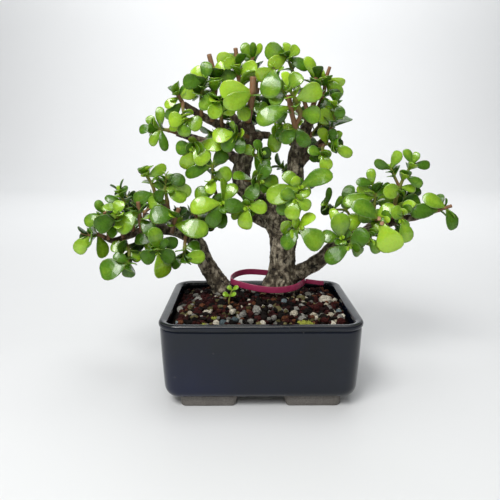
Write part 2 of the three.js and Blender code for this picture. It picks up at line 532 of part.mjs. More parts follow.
    r: [1.9, 1.3], end: 'bud', fill: 1, leaves: [[3, 6, 232, -6, 17, 0], [3, -4, 247, 2, 11, 0],
      [2, 3, 224, -6, 12, 0]] }] },
  { name: 'crown_front_low', shoots: [{ path: [[33, 203, 14], [27.5, 211, 4], [23, 226, -4],
      [21.5, 235, -5]],
    r: [2.2, 2], end: 'cut', fill: 0, leaves: [[2, -3, 214, -4, 15, 0], [1, 16, 199, -3, 12, 0],
      [1, 38, 196, -3, 11, 0]] },
  { path: [[27, 211, 5], [20, 212, 12], [15, 212, 14]], r: [1.5, 1.1], end: 'bud', fill: 0,
    leaves: [[2, 10, 191, -1, 12, 0], [2, 16, 226, -2, 12, 0], [2, 20, 197, -1, 12, 0]] },
  { path: [[27, 211, 4], [31, 221, -3], [27, 231, -8], [22, 239, -10]],
    r: [1.8, 1.2], end: 'bud', fill: 0, leaves: [[2, 47, 240, -3, 15, 0], [3, 31, 250, -2, 12, 5],
      [3, 17, 252, -1, 8, 0],
      [1, 47, 219, -4, 14, 0]] }] },
  { name: 'crown_top_right', shoots: [{ path: [[38, 219, 17], [32, 234, 20], [25, 250, 18], [20, 262, 14]],
    r: [1.9, 1.1], end: 'bud', fill: 2, leaves: [[3, 3, 269, -2, 14, 0], [3, 19, 273, 3, 9, 10],
      [3, 36, 253.5, -3, 10, 0], [3, 5, 256, -5, 11, 0], [3, 28, 270, 0, 9, 0],
      [2, 15, 237, -4, 12, 0]] }] },
  { name: 'crown_right_stub', shoots: [{ path: [[39, 221, 15], [42, 233, 13], [41.5, 246, 12],
    [38.5, 259, 12]], r: [2.2, 2], end: 'cut', fill: 3, leaves: [[2, 31, 262, -2, 9, 0]] }] },
  { name: 'crown_right_outer', shoots: [{ path: [[42, 220, 18], [48, 234, 19], [50, 247, 18],
      [52.5, 255.5, 18]],
    r: [1.7, 1.4], end: 'cut', fill: 1, leaves: [[2, 62, 233, -3, 12, 0], [2, 65, 244, 0, 8, 10],
      [2, 44, 254, -1, 6, 0],
      [1, 52, 220, -4, 12, 0]] }] },
  { name: 'crown_right_low', shoots: [{ path: [[53, 204, 15], [57, 215, 11], [58, 229, 8]],
    r: [1.6, 1.1], end: 'bud', fill: 2, leaves: [[2, 63, 217, -2, 9, 0], [1, 45, 222, -7, 13, 0]] }] },
  { name: 'crown_right_tip', shoots: [{ path: [[45, 196, 16], [52, 198, 11], [57, 198, 8]],
    r: [1.5, 1.1], end: 'bud', fill: 1, leaves: [[2, 73, 189, -2, 9, 10], [2, 63, 208, 2, 7, 0],
      [1, 46, 210, -3, 9, 0], [2, 57, 210, -2, 8, 0]] },
  { path: [[50, 197.5, 12.5], [49, 194, 7], [48.5, 190, 3]],
    r: [1.5, 1.1], end: 'bud', fill: 0, leaves: [[2, 54, 177, -2, 11, 0], [2, 37, 193, -4, 9, 0],
      [1, 55, 187, 2, 8, 0]] }] },
  { name: 'crown_back_left', shoots: [{ path: [[-14, 203, 55], [-15, 207, 61], [-22, 216, 63],
      [-28, 225, 64]],
    r: [1.9, 1.2], end: 'bud', fill: 3, leaves: [] },
  { path: [[-15, 207, 61], [-26, 207, 61], [-37, 206, 58]], r: [1.7, 1.1], end: 'bud', fill: 2, leaves: [] },
  { path: [[-15, 207, 61], [-12, 203, 69], [-12, 199, 75]], r: [1.5, 1.1], end: 'bud',
    fill: 2, leaves: [] }] },
  { name: 'crown_back_top', shoots: [{ path: [[-13, 196, 44], [-8, 212, 46], [-4, 228, 44], [-2, 240, 42]],
    r: [2, 1.3], end: 'cut', fill: 3, leaves: [] },
  { path: [[-9, 210, 46], [2, 220, 52], [10, 228, 56]], r: [1.6, 1.1], end: 'bud', fill: 3, leaves: [] }] },
  { name: 'crown_back_right', shoots: [{ path: [[37, 200, 53], [39.5, 204, 59], [45, 211, 62],
      [51, 218, 63]],
    r: [1.9, 1.2], end: 'bud', fill: 3, leaves: [] },
  { path: [[39.5, 204, 59], [36, 215, 56], [29, 227, 52]], r: [1.8, 1.2], end: 'cut', fill: 2, leaves: [] },
  { path: [[39.5, 204, 59], [35, 201, 68], [30, 197, 76]], r: [1.5, 1.1], end: 'bud', fill: 2,
      leaves: [] }] },
  { name: 'middle_back_right', shoots: [{ path: [[38, 165, 56], [37, 167, 61], [30, 162, 66], [22, 158, 68]],
    r: [1.8, 1.1], end: 'bud', fill: 3, leaves: [] },
  { path: [[37, 167, 61], [27, 173, 62], [17, 180, 62]], r: [1.6, 1.1], end: 'bud', fill: 2, leaves: [] }] },
];

// Where the pairs of a fill go: along the outer part of the shoot, sizes falling towards the tip
const fillRule = {
  from: 0.3,
  toBelowCut: 0.6,
  toAtBud: 0.97,
  length: 18,
  lengthAtTip: 12.5,
  spread: 62,
  spreadAtTip: 34,
  widthShare: 0.8,
  jitter: 14,
  seed: 90210,
};

function shootCurve(shoot) {
  return new THREE.CatmullRomCurve3(shoot.path.map(place), false, 'centripetal');
}

// How far back along the last stretch of a cut stub its end leaves are rooted
const stubSetback = 0.2;

function handLeaf(shoot, [node, tipX, tipZ, extraDepth, width, roll]) {
  const at = shoot.path[node];
  const base = place(at);
  if (shoot.end === 'cut' && node === shoot.path.length - 1) {
    base.lerp(place(shoot.path[node - 1]), stubSetback);
  }
  const tip = place([tipX, tipZ, at[2] + extraDepth]);
  const along = tip.clone().sub(base).normalize();
  const normal = eye.clone().sub(base).normalize();
  normal.addScaledVector(along, -normal.dot(along)).normalize();
  normal.applyAxisAngle(along, THREE.MathUtils.degToRad(roll));
  return { base, tip, normal, width };
}

// The changes tried on a leaf until it is clear of everything: its turn about the shoot, its tilt, its size
const tries = [
  { turn: 0, tilt: 0, size: 1 }, { turn: 24, tilt: 6, size: 1 }, { turn: -24, tilt: -6, size: 1 },
  { turn: 46, tilt: -12, size: 0.95 }, { turn: -46, tilt: 12, size: 0.95 },
  { turn: 12, tilt: -22, size: 0.88 }, { turn: -12, tilt: 20, size: 0.86 },
  { turn: 68, tilt: 4, size: 0.84 }, { turn: -68, tilt: -4, size: 0.84 }, { turn: 0, tilt: 0, size: 0.72 },
];

function changedLeaf(leaf, axis, change) {
  const along = leaf.tip.clone().sub(leaf.base).multiplyScalar(change.size);
  const normal = leaf.normal.clone();
  const side = new THREE.Vector3().crossVectors(along, normal).normalize();
  const tilt = THREE.MathUtils.degToRad(change.tilt);
  const turn = THREE.MathUtils.degToRad(change.turn);
  for (const arrow of [along, normal]) {
    arrow.applyAxisAngle(side, tilt).applyAxisAngle(axis, turn);
  }
  return { base: leaf.base, tip: leaf.base.clone().add(along), normal, width: leaf.width * change.size };
}

function fillLeaves(shoot, draw) {
  const curve = shootCurve(shoot);
  const leaves = [];
  for (let pair = 0; pair < shoot.fill; pair += 1) {
    const share = shoot.fill > 1 ? pair / (shoot.fill - 1) : 1;
    const to = shoot.end === 'cut' ? fillRule.toBelowCut : fillRule.toAtBud;
    const t = THREE.MathUtils.lerp(fillRule.from, to, shoot.fill > 1 ? share : 0.6);
    const base = curve.getPoint(t);
    const axis = curve.getTangent(t);
    const level = new THREE.Vector3().crossVectors(axis, new THREE.Vector3(0, 0, 1)).normalize();
    const quarter = (pair % 2) * 90 + (draw() - 0.5) * 2 * fillRule.jitter;
    for (const half of [0, 180]) {
      const spread = THREE.MathUtils.lerp(fillRule.spread, fillRule.spreadAtTip, share)
        + (draw() - 0.5) * fillRule.jitter;
      const length = (0.85 + 0.3 * draw())
        * THREE.MathUtils.lerp(fillRule.length, fillRule.lengthAtTip, share);
      const out = level.clone().applyAxisAngle(axis, THREE.MathUtils.degToRad(quarter + half));
      const angle = THREE.MathUtils.degToRad(spread);
      const along = out.clone().multiplyScalar(Math.sin(angle)).addScaledVector(axis, Math.cos(angle));
      const normal = axis.clone().multiplyScalar(Math.sin(angle)).addScaledVector(out, -Math.cos(angle));
      leaves.push({ base, tip: base.clone().addScaledVector(along, length), normal,
        width: length * fillRule.widthShare, axis });
    }
  }
  return leaves;
}

// Tag: a plastic strip looped round the main trunk's foot, with its tail through its head
const tag = {
  height: 5.2,
  thickness: 0.9,
  loop: [[-24, 86, 16], [-20, 91, 30], [-10, 93.5, 41], [7, 92.5, 43], [24, 90, 40], [35.5, 88, 30],
    [38, 85.5, 17], [35, 82.5, 7], [29, 79.5, 1], [17, 77.5, -2.5], [5, 78, -3], [-7, 80, -1.5],
    [-18, 83, 5]],
  tail: [[38.6, 85.5, 16], [45, 84.6, 16], [54, 83.4, 17]],
};

// A strip that stands on edge along a curve
function strip(curve, count, closed, height, thickness) {
  const corners = [[-1, 1], [1, 1], [1, -1], [-1, -1]];
  const rings = [];
  const steps = closed ? count : count + 1;
  for (let i = 0; i < steps; i += 1) {
    const t = i / count;
    const at = curve.getPoint(t);
    const along = curve.getTangent(t);
    const out = new THREE.Vector3().crossVectors(along, new THREE.Vector3(0, 0, 1)).normalize();
    const up = new THREE.Vector3().crossVectors(out, along);
    rings.push(corners.map(([a, b]) => at.clone()
      .addScaledVector(out, (a * thickness) / 2)
      .addScaledVector(up, (b * height) / 2)));
  }
  if (!closed) {
    return skin(rings, curve.getPoint(0), curve.getPoint(1));
  }
  const faces = [];
  for (let k = 0; k < steps; k += 1) {
    for (let i = 0; i < 4; i += 1) {
      const j = (i + 1) % 4;
      const [a, b] = [k * 4 + i, k * 4 + j];
      const [c, d] = [((k + 1) % steps) * 4 + i, ((k + 1) % steps) * 4 + j];
      faces.push([a, b, d], [a, d, c]);
    }
  }
  return solidFrom(rings.flat(), faces);
}

function makeTag(grow) {
  const loop = new THREE.CatmullRomCurve3(tag.loop.map(place), true, 'centripetal');
  const tail = new THREE.CatmullRomCurve3(tag.tail.map(place), false, 'centripetal');
  const high = tag.height + 2 * grow;
  const thick = tag.thickness + 2 * grow;
  return strip(loop, 32, true, high, thick).add(strip(tail, 3, false, high - 1.4, thick));
}

// Soil: a block that fills the pot up to a low mound, with half-sunk pebbles on it
const soil = { wallZ: 62.5, moundHeight: 9.5, pebbles: 15, seed: 4711 };

function moundHeight(x, y) {
  const u = Math.min(Math.abs(x) / (pot.width / 2 - pot.wall), 1);
  const v = Math.min(Math.abs(y) / (pot.depth / 2 - pot.wall), 1);
  return soil.wallZ + soil.moundHeight * (1 - u ** 2.2) * (1 - v ** 2.6);
}

function makeSoilBlock() {
  const margin = pot.wall + gap;
  const floorTop = pot.undersideZ + pot.floor + gap;
  const rings = [
    [margin + 6, floorTop],
    [margin + 2, floorTop + 6],
    [margin + 0.3, soil.wallZ],
  ].map(potRing);
  const rim = rings.at(-1);
  for (const share of [0.82, 0.58, 0.3]) {
    rings.push(rim.map((p) => {
      const x = p.x * share;
      const y = p.y * share;
      return new THREE.Vector3(x, y, moundHeight(x, y));
    }));
  }
  return skin(rings, new THREE.Vector3(0, 0, floorTop), new THREE.Vector3(0, 0, moundHeight(0, 0)));
}

function makePebbles() {
  const draw = makeDraw(soil.seed);
  const pebbles = [];
  const halfX = pot.width / 2 - pot.wall - 1;
  const halfY = pot.depth / 2 - pot.wall - 1;
  for (let i = 0; i < soil.pebbles; i += 1) {
    const size = 3.4 + 2.8 * draw() ** 2;
    const x = (draw() * 2 - 1) * (halfX - 1.3 * size);
    const y = (draw() * 2 - 1) * (halfY - 1.3 * size);
    const stone = new THREE.OctahedronGeometry(size, 0);
    stone.scale(0.8 + 0.5 * draw(), 0.7 + 0.3 * draw(), 0.5 + 0.3 * draw());
    stone.rotateX(draw() * 0.9);
    stone.rotateZ(draw() * Math.PI * 2);
    stone.translate(x, y, moundHeight(x, y) - 0.2);
    pebbles.push(solidFromGeometry(stone));
  }
  return pebbles;
}

function makeSoil(plants) {
  let body = joined([makeSoilBlock(), ...makePebbles()]);
  for (const other of [...plants, drainMeshBox(-1, gap), drainMeshBox(1, gap)]) {
    body = body.subtract(other);
  }
  return largestBody(body);
}

// Sprout: a short stem in the soil with two pairs of tiny leaves
const sprout = {
  stem: [[-26, 56, -13], [-25.8, 67, -13], [-25, 72, -12], [-23, 77, -11]],
  leaves: [[-31, 74, -2, 5.5], [-19.5, 74, -3, 5], [-27, 81, 2, 4.5], [-17.5, 80.5, 0, 4.5]],
};

function makeSprout(grow) {
  const points = sprout.stem.map(place);
  let body = tube(points, [0.9, 0.9, 0.8, 0.6], { sides: 5, steps: 1, grow, end: 'bud' });
  sprout.leaves.forEach(([x, z, extraDepth, width], i) => {
    const base = points[i < 2 ? 2 : 3].clone();
    const tip = place([x, z, sprout.stem[2][2] + extraDepth]);
    const normal = new THREE.Vector3(0, -0.6, 0.8);
    body = body.add(leafSolid({ base, tip, normal, width }, grow));
  });
  return body;
}

const trunkMain = makeWood(mainLimbs, 0);
const trunkMainRoom = makeWood(mainLimbs, woodRoom);
const trunkLeftRoom = makeWood(leftLimbs, woodRoom);
const trunkLeft = makeWood(leftLimbs, 0).subtract(trunkMainRoom);
const tagBand = makeTag(0);

// Every shoot's wood first, then every leaf that finds a clear place
function shootSolid(shoot, grow) {
  const points = shoot.path.map(place);
  const radii = points.map((_, i) => THREE.MathUtils.lerp(shoot.r[0], shoot.r[1], i / (points.length - 1)));
  return tube(points, radii, { sides: 4, steps: 1, grow, end: shoot.end });
}

function boxesMeet(a, b) {
  return [0, 1, 2].every((i) => a.min[i] <= b.max[i] && b.min[i] <= a.max[i]);
}

function meets(solid, box, other) {
  return boxesMeet(box, other.box) && !solid.intersect(other.solid).isEmpty();
}

function withBox(solid, owner) {
  return { solid, box: solid.boundingBox(), owner };
}

const fixed = [trunkMain, trunkLeft, tagBand].map((solid) => withBox(solid, 'wood'));
const placed = [];
for (const spray of sprays) {
  spray.parts = spray.shoots.map((shoot) => shootSolid(shoot, 0));
  spray.parts.forEach((solid) => placed.push(withBox(solid, spray.name)));
}

function isClear(leaf, owner) {
  const room = leafSolid(leaf, gap);
  const roomBox = room.boundingBox();
  const own = leafSolid(leaf);
  const ownBox = own.boundingBox();
  if (fixed.some((other) => meets(room, roomBox, other))) {
    return false;
  }
  return placed.every((other) => {
    if (other.owner !== owner) {
      return !meets(room, roomBox, other);
    }
    return !other.leaf || !boxesMeet(ownBox, other.box) || own.intersect(other.solid).volume() < leafOverlap;
  });
}

function tryLeaf(spray, leaf, axis) {
  for (const change of tries) {
    const changed = changedLeaf(leaf, axis, change);
    if (isClear(changed, spray.name)) {
      const solid = leafSolid(changed);
      spray.parts.push(solid);
      placed.push({ ...withBox(solid, spray.name), leaf: true });
      return;
    }
  }
}

for (const spray of sprays) {
  for (const shoot of spray.shoots) {
    const curve = shootCurve(shoot);
    for (const row of shoot.leaves) {
      const axis = curve.getTangent(row[0] / (shoot.path.length - 1));
      tryLeaf(spray, handLeaf(shoot, row), axis);
    }
  }
}
const drawFill = makeDraw(fillRule.seed);
for (const spray of sprays) {
  for (const shoot of spray.shoots) {
    for (const leaf of fillLeaves(shoot, drawFill)) {
      tryLeaf(spray, leaf, leaf.axis);
    }
  }
}

function spraySolid(spray) {
  return largestBody(joined(spray.parts).subtract(trunkMainRoom).subtract(trunkLeftRoom));
}

const looks = {
  pot: { color: 0x252b38, roughness: 0.16, metalness: 0 },
  mesh: { color: 0x1c1c1c, roughness: 0.6, metalness: 0 },
  soil: { color: 0x4a3430, roughness: 0.95, metalness: 0 },
  wood: { color: 0x5c5046, roughness: 0.9, metalness: 0 },
  leaf: { color: 0x6da82c, roughness: 0.35, metalness: 0 },
  tag: { color: 0xa52a55, roughness: 0.4, metalness: 0 },
};

const model = new THREE.Group();

function addPiece(name, solid, look) {
  const mesh = new THREE.Mesh(geometryFrom(solid), new THREE.MeshStandardMaterial(looks[look]));
  mesh.name = name;
  model.add(mesh);
}

addPiece('pot', makePot(), 'pot');
addPiece('drain_mesh_left', makeDrainMesh(-1), 'mesh');
addPiece('drain_mesh_right', makeDrainMesh(1), 'mesh');
addPiece('soil', makeSoil([trunkMainRoom, trunkLeftRoom, makeSprout(gap), makeTag(gap)]), 'soil');
addPiece('trunk_main', trunkMain, 'wood');
addPiece('trunk_left', trunkLeft, 'wood');
addPiece('tag_band', tagBand, 'tag');
addPiece('basal_sprout', makeSprout(0), 'leaf');
for (const spray of sprays) {
  addPiece(`leaves_${spray.name}`, spraySolid(spray), 'leaf');
}

// The frame: the middle of the whole object's box in X and Y, at the feet
const box = new THREE.Box3().setFromObject(model);
const middle = box.getCenter(new THREE.Vector3());
model.position.set(-middle.x, -middle.y, -box.min.z);

export default model;
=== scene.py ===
# Dwarf jade bonsai in its glazed pot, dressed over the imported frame. Tables are in millimetres,
# measured from the middle of the pot as the tree was laid out; meshes are in metres.
import math
import bpy
import numpy as np
from mathutils import Matrix, Vector, kdtree


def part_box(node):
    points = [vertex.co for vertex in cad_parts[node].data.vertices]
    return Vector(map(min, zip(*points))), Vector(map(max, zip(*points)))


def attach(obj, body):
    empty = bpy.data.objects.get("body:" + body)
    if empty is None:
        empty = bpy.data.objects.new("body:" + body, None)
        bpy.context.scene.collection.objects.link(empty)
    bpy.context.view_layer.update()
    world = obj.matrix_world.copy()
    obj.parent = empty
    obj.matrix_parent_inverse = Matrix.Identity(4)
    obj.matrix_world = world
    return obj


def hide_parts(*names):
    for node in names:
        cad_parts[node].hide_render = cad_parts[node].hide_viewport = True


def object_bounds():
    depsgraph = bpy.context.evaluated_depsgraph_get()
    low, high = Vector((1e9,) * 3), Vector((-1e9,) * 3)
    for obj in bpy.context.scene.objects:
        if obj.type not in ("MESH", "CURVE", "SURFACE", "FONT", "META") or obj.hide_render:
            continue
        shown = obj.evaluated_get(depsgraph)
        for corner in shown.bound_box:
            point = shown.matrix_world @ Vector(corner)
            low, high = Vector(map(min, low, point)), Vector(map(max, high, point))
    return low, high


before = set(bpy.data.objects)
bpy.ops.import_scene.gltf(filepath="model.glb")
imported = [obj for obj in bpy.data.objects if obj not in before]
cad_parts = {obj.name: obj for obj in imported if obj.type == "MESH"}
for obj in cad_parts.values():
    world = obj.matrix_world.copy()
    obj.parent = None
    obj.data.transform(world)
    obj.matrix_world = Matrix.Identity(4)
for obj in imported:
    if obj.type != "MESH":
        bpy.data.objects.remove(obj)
cadBounds = [[float(v) for v in corner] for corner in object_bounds()]
potLow, potHigh = (np.array(corner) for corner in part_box("pot"))
potMiddle = np.array([(potLow[0] + potHigh[0]) / 2, (potLow[1] + potHigh[1]) / 2, 0.0])
boxMargin = 2e-5
print("frame loaded, pot middle", potMiddle.round(4))


def toFrame(points):
    # Millimetres from the pot's middle to metres in the frame
    return np.asarray(points, float) * 0.001 + potMiddle


def insideBox(points):
    # The dressed model never passes the box of the solids
    return np.clip(points, np.array(cadBounds[0]) + boxMargin, np.array(cadBounds[1]) - boxMargin)


def unit(arrows):
    return arrows / np.maximum(np.linalg.norm(arrows, axis=-1, keepdims=True), 1e-12)


def between(limits, share):
    # A share of the way from the first limit to the second
    return limits[0] + (limits[1] - limits[0]) * share


def makeDraw(seed):
    # A repeatable draw between 0 and 1
    state = seed

    def draw():
        nonlocal state
        state = state * 16807 % 2147483647
        return state / 2147483647
    return draw


# Where the photograph was taken from, in millimetres
eye = np.array([-13.0, -388.0, 199.0])


def place(row):
    # x and z where the line of sight meets the pot's middle plane, and how far behind it the place lies
    x, z, depth = row[:3]
    return eye + (np.array([x, 0.0, z]) - eye) * (1 - depth / eye[1])


def curveAt(points, shares, closed=False):
    # Smooth curve through all points: cubic pieces whose speed follows the root of each distance
    points = np.asarray(points, float)
    count = len(points)
    run = np.atleast_1d(np.asarray(shares, float)) * (count if closed else count - 1)
    index = np.floor(run).astype(int)
    if closed:
        p0, p1, p2, p3 = (points[(index + k) % count] for k in (-1, 0, 1, 2))
    else:
        index = np.minimum(index, count - 2)
        longer = np.vstack([2 * points[0] - points[1], points, 2 * points[-1] - points[-2]])
        p0, p1, p2, p3 = (longer[index + k] for k in range(4))
    w = (run - index)[:, None]
    d0, d1, d2 = (np.sqrt(np.linalg.norm(b - a, axis=1, keepdims=True))
                  for a, b in ((p0, p1), (p1, p2), (p2, p3)))
    m1 = ((p1 - p0) / d0 - (p2 - p0) / (d0 + d1) + (p2 - p1) / d1) * d1
    m2 = ((p2 - p1) / d1 - (p3 - p1) / (d1 + d2) + (p3 - p2) / d2) * d1
    return p1 + m1 * w + (3 * (p2 - p1) - 2 * m1 - m2) * w ** 2 + (2 * (p1 - p2) + m1 + m2) * w ** 3


def tangentAt(points, shares, closed=False):
    shares = np.atleast_1d(np.asarray(shares, float))
    low, high = np.clip(shares - 1e-4, 0, 1), np.clip(shares + 1e-4, 0, 1)
    return unit(curveAt(points, high, closed) - curveAt(points, low, closed))


def turned(arrow, axis, degrees):
    # An arrow turned about an axis
    c, d = math.cos(math.radians(degrees)), math.sin(math.radians(degrees))
    return arrow * c + np.cross(axis, arrow) * d + axis * np.dot(axis, arrow) * (1 - c)


def latticeNoise(points, size, seed):
    # Smooth random field from -1 to 1: random numbers on cubes of one size, blended between their corners
    cells = points / size
    cell = np.floor(cells).astype(np.int64)
    part = cells - cell
    part = part * part * (3 - 2 * part)
    total = np.zeros(len(points))
    for dx in (0, 1):
        for dy in (0, 1):
            for dz in (0, 1):
                code = (cell[:, 0] + dx) * 374761393 + (cell[:, 1] + dy) * 668265263 \
                    + (cell[:, 2] + dz) * 1442695041 + seed * 974711
                code = (code ^ (code >> 13)) * 1274126177
                code = (code ^ (code >> 16)) & 0xFFFFFF
                weight = (part[:, 0] if dx else 1 - part[:, 0]) * (part[:, 1] if dy else 1 - part[:, 1]) \
                    * (part[:, 2] if dz else 1 - part[:, 2])
                total += code / 0xFFFFFF * weight
    return total * 2 - 1


def tubeGrid(points, radii, rings, sides):
    # Circles of a changing radius carried along the curve without twist
    shares = np.linspace(0, 1, rings)
    centre = curveAt(points, shares)
    along = tangentAt(points, shares)
    across = np.zeros_like(along)
    arrow = np.array([1, 0.2, 0.1])
    for i in range(rings):
        arrow = unit(arrow - along[i] * np.dot(arrow, along[i]))
        across[i] = arrow
    other = np.cross(along, across)
    radius = np.interp(shares * (len(points) - 1), np.arange(len(points)), radii)
    angle = (np.arange(sides) + 0.5) / sides * 2 * np.pi
    grid = centre[:, None] + radius[:, None, None] * (
        across[:, None] * np.cos(angle)[None, :, None] + other[:, None] * np.sin(angle)[None, :, None])
    return grid, shares


def skinFaces(rings, sides, flip=False):
    # Quads between the rings of a closed tube and a fan at each end, whose points follow the grid
    k, i = np.meshgrid(np.arange(rings - 1), np.arange(sides), indexing="ij")
    a = (k * sides + i).ravel()
    b = (k * sides + (i + 1) % sides).ravel()
    quads = np.stack([a, b, b + sides, a + sides], 1)
    ring = np.arange(sides)
    following = (ring + 1) % sides
    start, end = rings * sides, rings * sides + 1
    last = (rings - 1) * sides
    tris = np.vstack([
        np.stack([np.full(sides, start), following, ring], 1),
        np.stack([np.full(sides, end), last + ring, last + following], 1),
    ])
    return (quads[:, ::-1], tris[:, ::-1]) if flip else (quads, tris)


class Heap:
    # Points, faces, a colour per point and a material number per face, gathered for one mesh
    def __init__(self):
        self.points, self.tones, self.quads, self.tris, self.quadLook, self.triLook = [], [], [], [], [], []
        self.count = 0

    def add(self, points, quads, tris, tones, look=0):
        self.points.append(points.reshape(-1, 3))
        self.tones.append(np.broadcast_to(tones, (points.size // 3, 4)))
        self.quads.append(quads + self.count)
        self.tris.append(tris + self.count)
        self.quadLook.append(np.full(len(quads), look))
        self.triLook.append(np.full(len(tris), look))
        self.count += points.size // 3

    def mesh(self, name, smooth=True):
        points = np.vstack(self.points)
        quads = np.vstack(self.quads).astype(int)
        tris = np.vstack(self.tris).astype(int)
        mesh = bpy.data.meshes.new(name)
        mesh.from_pydata(points.tolist(), [], quads.tolist() + tris.tolist())
        mesh.attributes.new("tone", "FLOAT_COLOR", "POINT")
        mesh.attributes["tone"].data.foreach_set("color", np.vstack(self.tones).astype(np.float32).ravel())
        mesh.polygons.foreach_set("use_smooth", np.full(len(mesh.polygons), smooth))
        look = np.concatenate(self.quadLook + self.triLook).astype(np.int32)
        mesh.polygons.foreach_set("material_index", look)
        mesh.update()
        return mesh


noTris = np.zeros((0, 3), int)
noQuads = np.zeros((0, 4), int)


def addPiece(name, mesh, nodes, materials):
    piece = bpy.data.objects.new(name, mesh)
    bpy.context.scene.collection.objects.link(piece)
    for material in materials:
        mesh.materials.append(material)
    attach(piece, "root")
    if nodes:
        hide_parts(*nodes)
    return piece


def finished(piece):
    # The piece's mesh with its modifiers worked in
    mesh = bpy.data.meshes.new_from_object(piece.evaluated_get(bpy.context.evaluated_depsgraph_get()))
    old = piece.data
    piece.modifiers.clear()
    piece.data = mesh
    mesh.name = old.name
    return mesh


def put(tree, kind, inputs=None, **settings):
    node = tree.nodes.new(kind)
    for key, value in settings.items():
        setattr(node, key, value)
    for key, value in (inputs or {}).items():
        if isinstance(value, bpy.types.NodeSocket):
            tree.links.new(value, node.inputs[key])
        else:
            node.inputs[key].default_value = value
    return node


def ramp(tree, factor, stops, smooth=False):
    node = put(tree, "ShaderNodeValToRGB", {"Fac": factor})
    node.color_ramp.interpolation = "EASE" if smooth else "LINEAR"
    while len(node.color_ramp.elements) < len(stops):
        node.color_ramp.elements.new(0.5)
    for element, (position, colour) in zip(node.color_ramp.elements, stops):
        element.position = position
        element.color = (*colour, 1) if len(colour) == 3 else colour
    return node.outputs["Color"]


def mixed(tree, factor, a, b, blend="MIX"):
    node = put(tree, "ShaderNodeMix", data_type="RGBA", blend_type=blend)
    for index, value in ((0, factor), (6, a), (7, b)):
        if isinstance(value, bpy.types.NodeSocket):
            tree.links.new(value, node.inputs[index])
        else:
            node.inputs[index].default_value = value if index == 0 else (*value, 1)
    return node.outputs[2]


def compute(tree, operation, a, b=0.0, clamp=False):
    node = put(tree, "ShaderNodeMath", {0: a, 1: b}, operation=operation, use_clamp=clamp)
    return node.outputs[0]


def scaled(tree, value, factor):
    return compute(tree, "MULTIPLY", value, factor)


def centred(tree, value, middle, factor):
    # How far a value lies from its middle, times a factor
    return scaled(tree, compute(tree, "SUBTRACT", value, middle), factor)


def spread(tree, value, low, high, toLow=0.0, toHigh=1.0):
    # A value between two limits carried smoothly to two others
    limits = {"Value": value, "From Min": low, "From Max": high, "To Min": toLow, "To Max": toHigh}
    return put(tree, "ShaderNodeMapRange", limits, interpolation_type="SMOOTHSTEP").outputs["Result"]


def makeGroup(name, inputs, outputs):
    group = bpy.data.node_groups.new(name, "ShaderNodeTree")
    for label, kind, value in inputs:
        socket = group.interface.new_socket(name=label, in_out="INPUT", socket_type=kind)
        if value is not None:
            socket.default_value = value
    for label, kind in outputs:
        group.interface.new_socket(name=label, in_out="OUTPUT", socket_type=kind)
    return group, put(group, "NodeGroupInput"), put(group, "NodeGroupOutput")


def makePatchGroup():
    # Patches: coarse noise bent by a second one, from 0 to 1
    group, given, out = makeGroup(
        "patches", [("Position", "NodeSocketVector", None), ("Size", "NodeSocketFloat", 100.0),
                    ("Contrast", "NodeSocketFloat", 0.5)], [("Mask", "NodeSocketFloat")])
    where = {"Vector": given.outputs["Position"], "Scale": given.outputs["Size"]}
    noise = put(group, "ShaderNodeTexNoise", {**where, "Detail": 4.0, "Roughness": 0.55, "Distortion": 0.4})
    half = scaled(group, given.outputs["Contrast"], 0.5)
    low = compute(group, "SUBTRACT", 0.5, half)
    high = compute(group, "ADD", 0.5, half)
    group.links.new(spread(group, noise.outputs["Fac"], low, high), out.inputs["Mask"])
    return group


def makeGrainGroup():
    # Grain: fine noise and small cells turned into a surface normal
    group, given, out = makeGroup(
        "surface grain", [("Position", "NodeSocketVector", None), ("Size", "NodeSocketFloat", 900.0),
                          ("Depth", "NodeSocketFloat", 0.0002), ("Strength", "NodeSocketFloat", 0.4)],
        [("Normal", "NodeSocketVector"), ("Height", "NodeSocketFloat")])
    where = {"Vector": given.outputs["Position"], "Scale": given.outputs["Size"]}
    noise = put(group, "ShaderNodeTexNoise", {**where, "Detail": 5.0, "Roughness": 0.62})
    cells = put(group, "ShaderNodeTexVoronoi", where)
    height = compute(group, "ADD", noise.outputs["Fac"], scaled(group, cells.outputs["Distance"], 0.4))
    bump = put(group, "ShaderNodeBump", {"Height": height, "Distance": given.outputs["Depth"],
                                         "Strength": given.outputs["Strength"]})
    group.links.new(bump.outputs["Normal"], out.inputs["Normal"])
    group.links.new(height, out.inputs["Height"])
    return group


patchGroup = makePatchGroup()
grainGroup = makeGrainGroup()


def startMaterial(name, **values):
    material = bpy.data.materials.new(name)
    material.use_nodes = True
    tree = material.node_tree
    tree.nodes.clear()
    out = put(tree, "ShaderNodeOutputMaterial")
    shader = put(tree, "ShaderNodeBsdfPrincipled")
    tree.links.new(shader.outputs[0], out.inputs["Surface"])
    for key, value in values.items():
        shader.inputs[key.replace("_", " ")].default_value = value
    position = put(tree, "ShaderNodeTexCoord").outputs["Object"]
    return material, tree, shader, position


def patches(tree, position, size, contrast):
    inputs = {"Position": position, "Size": size, "Contrast": contrast}
    return put(tree, "ShaderNodeGroup", inputs, node_tree=patchGroup).outputs["Mask"]


def grain(tree, position, shader, size, depth, strength):
    inputs = {"Position": position, "Size": size, "Depth": depth, "Strength": strength}
    node = put(tree, "ShaderNodeGroup", inputs, node_tree=grainGroup)
    tree.links.new(node.outputs["Normal"], shader.inputs["Normal"])
    return node.outputs["Height"]


def finish(tree, shader, colour, rough):
    tree.links.new(colour, shader.inputs["Base Color"])
    tree.links.new(rough, shader.inputs["Roughness"])


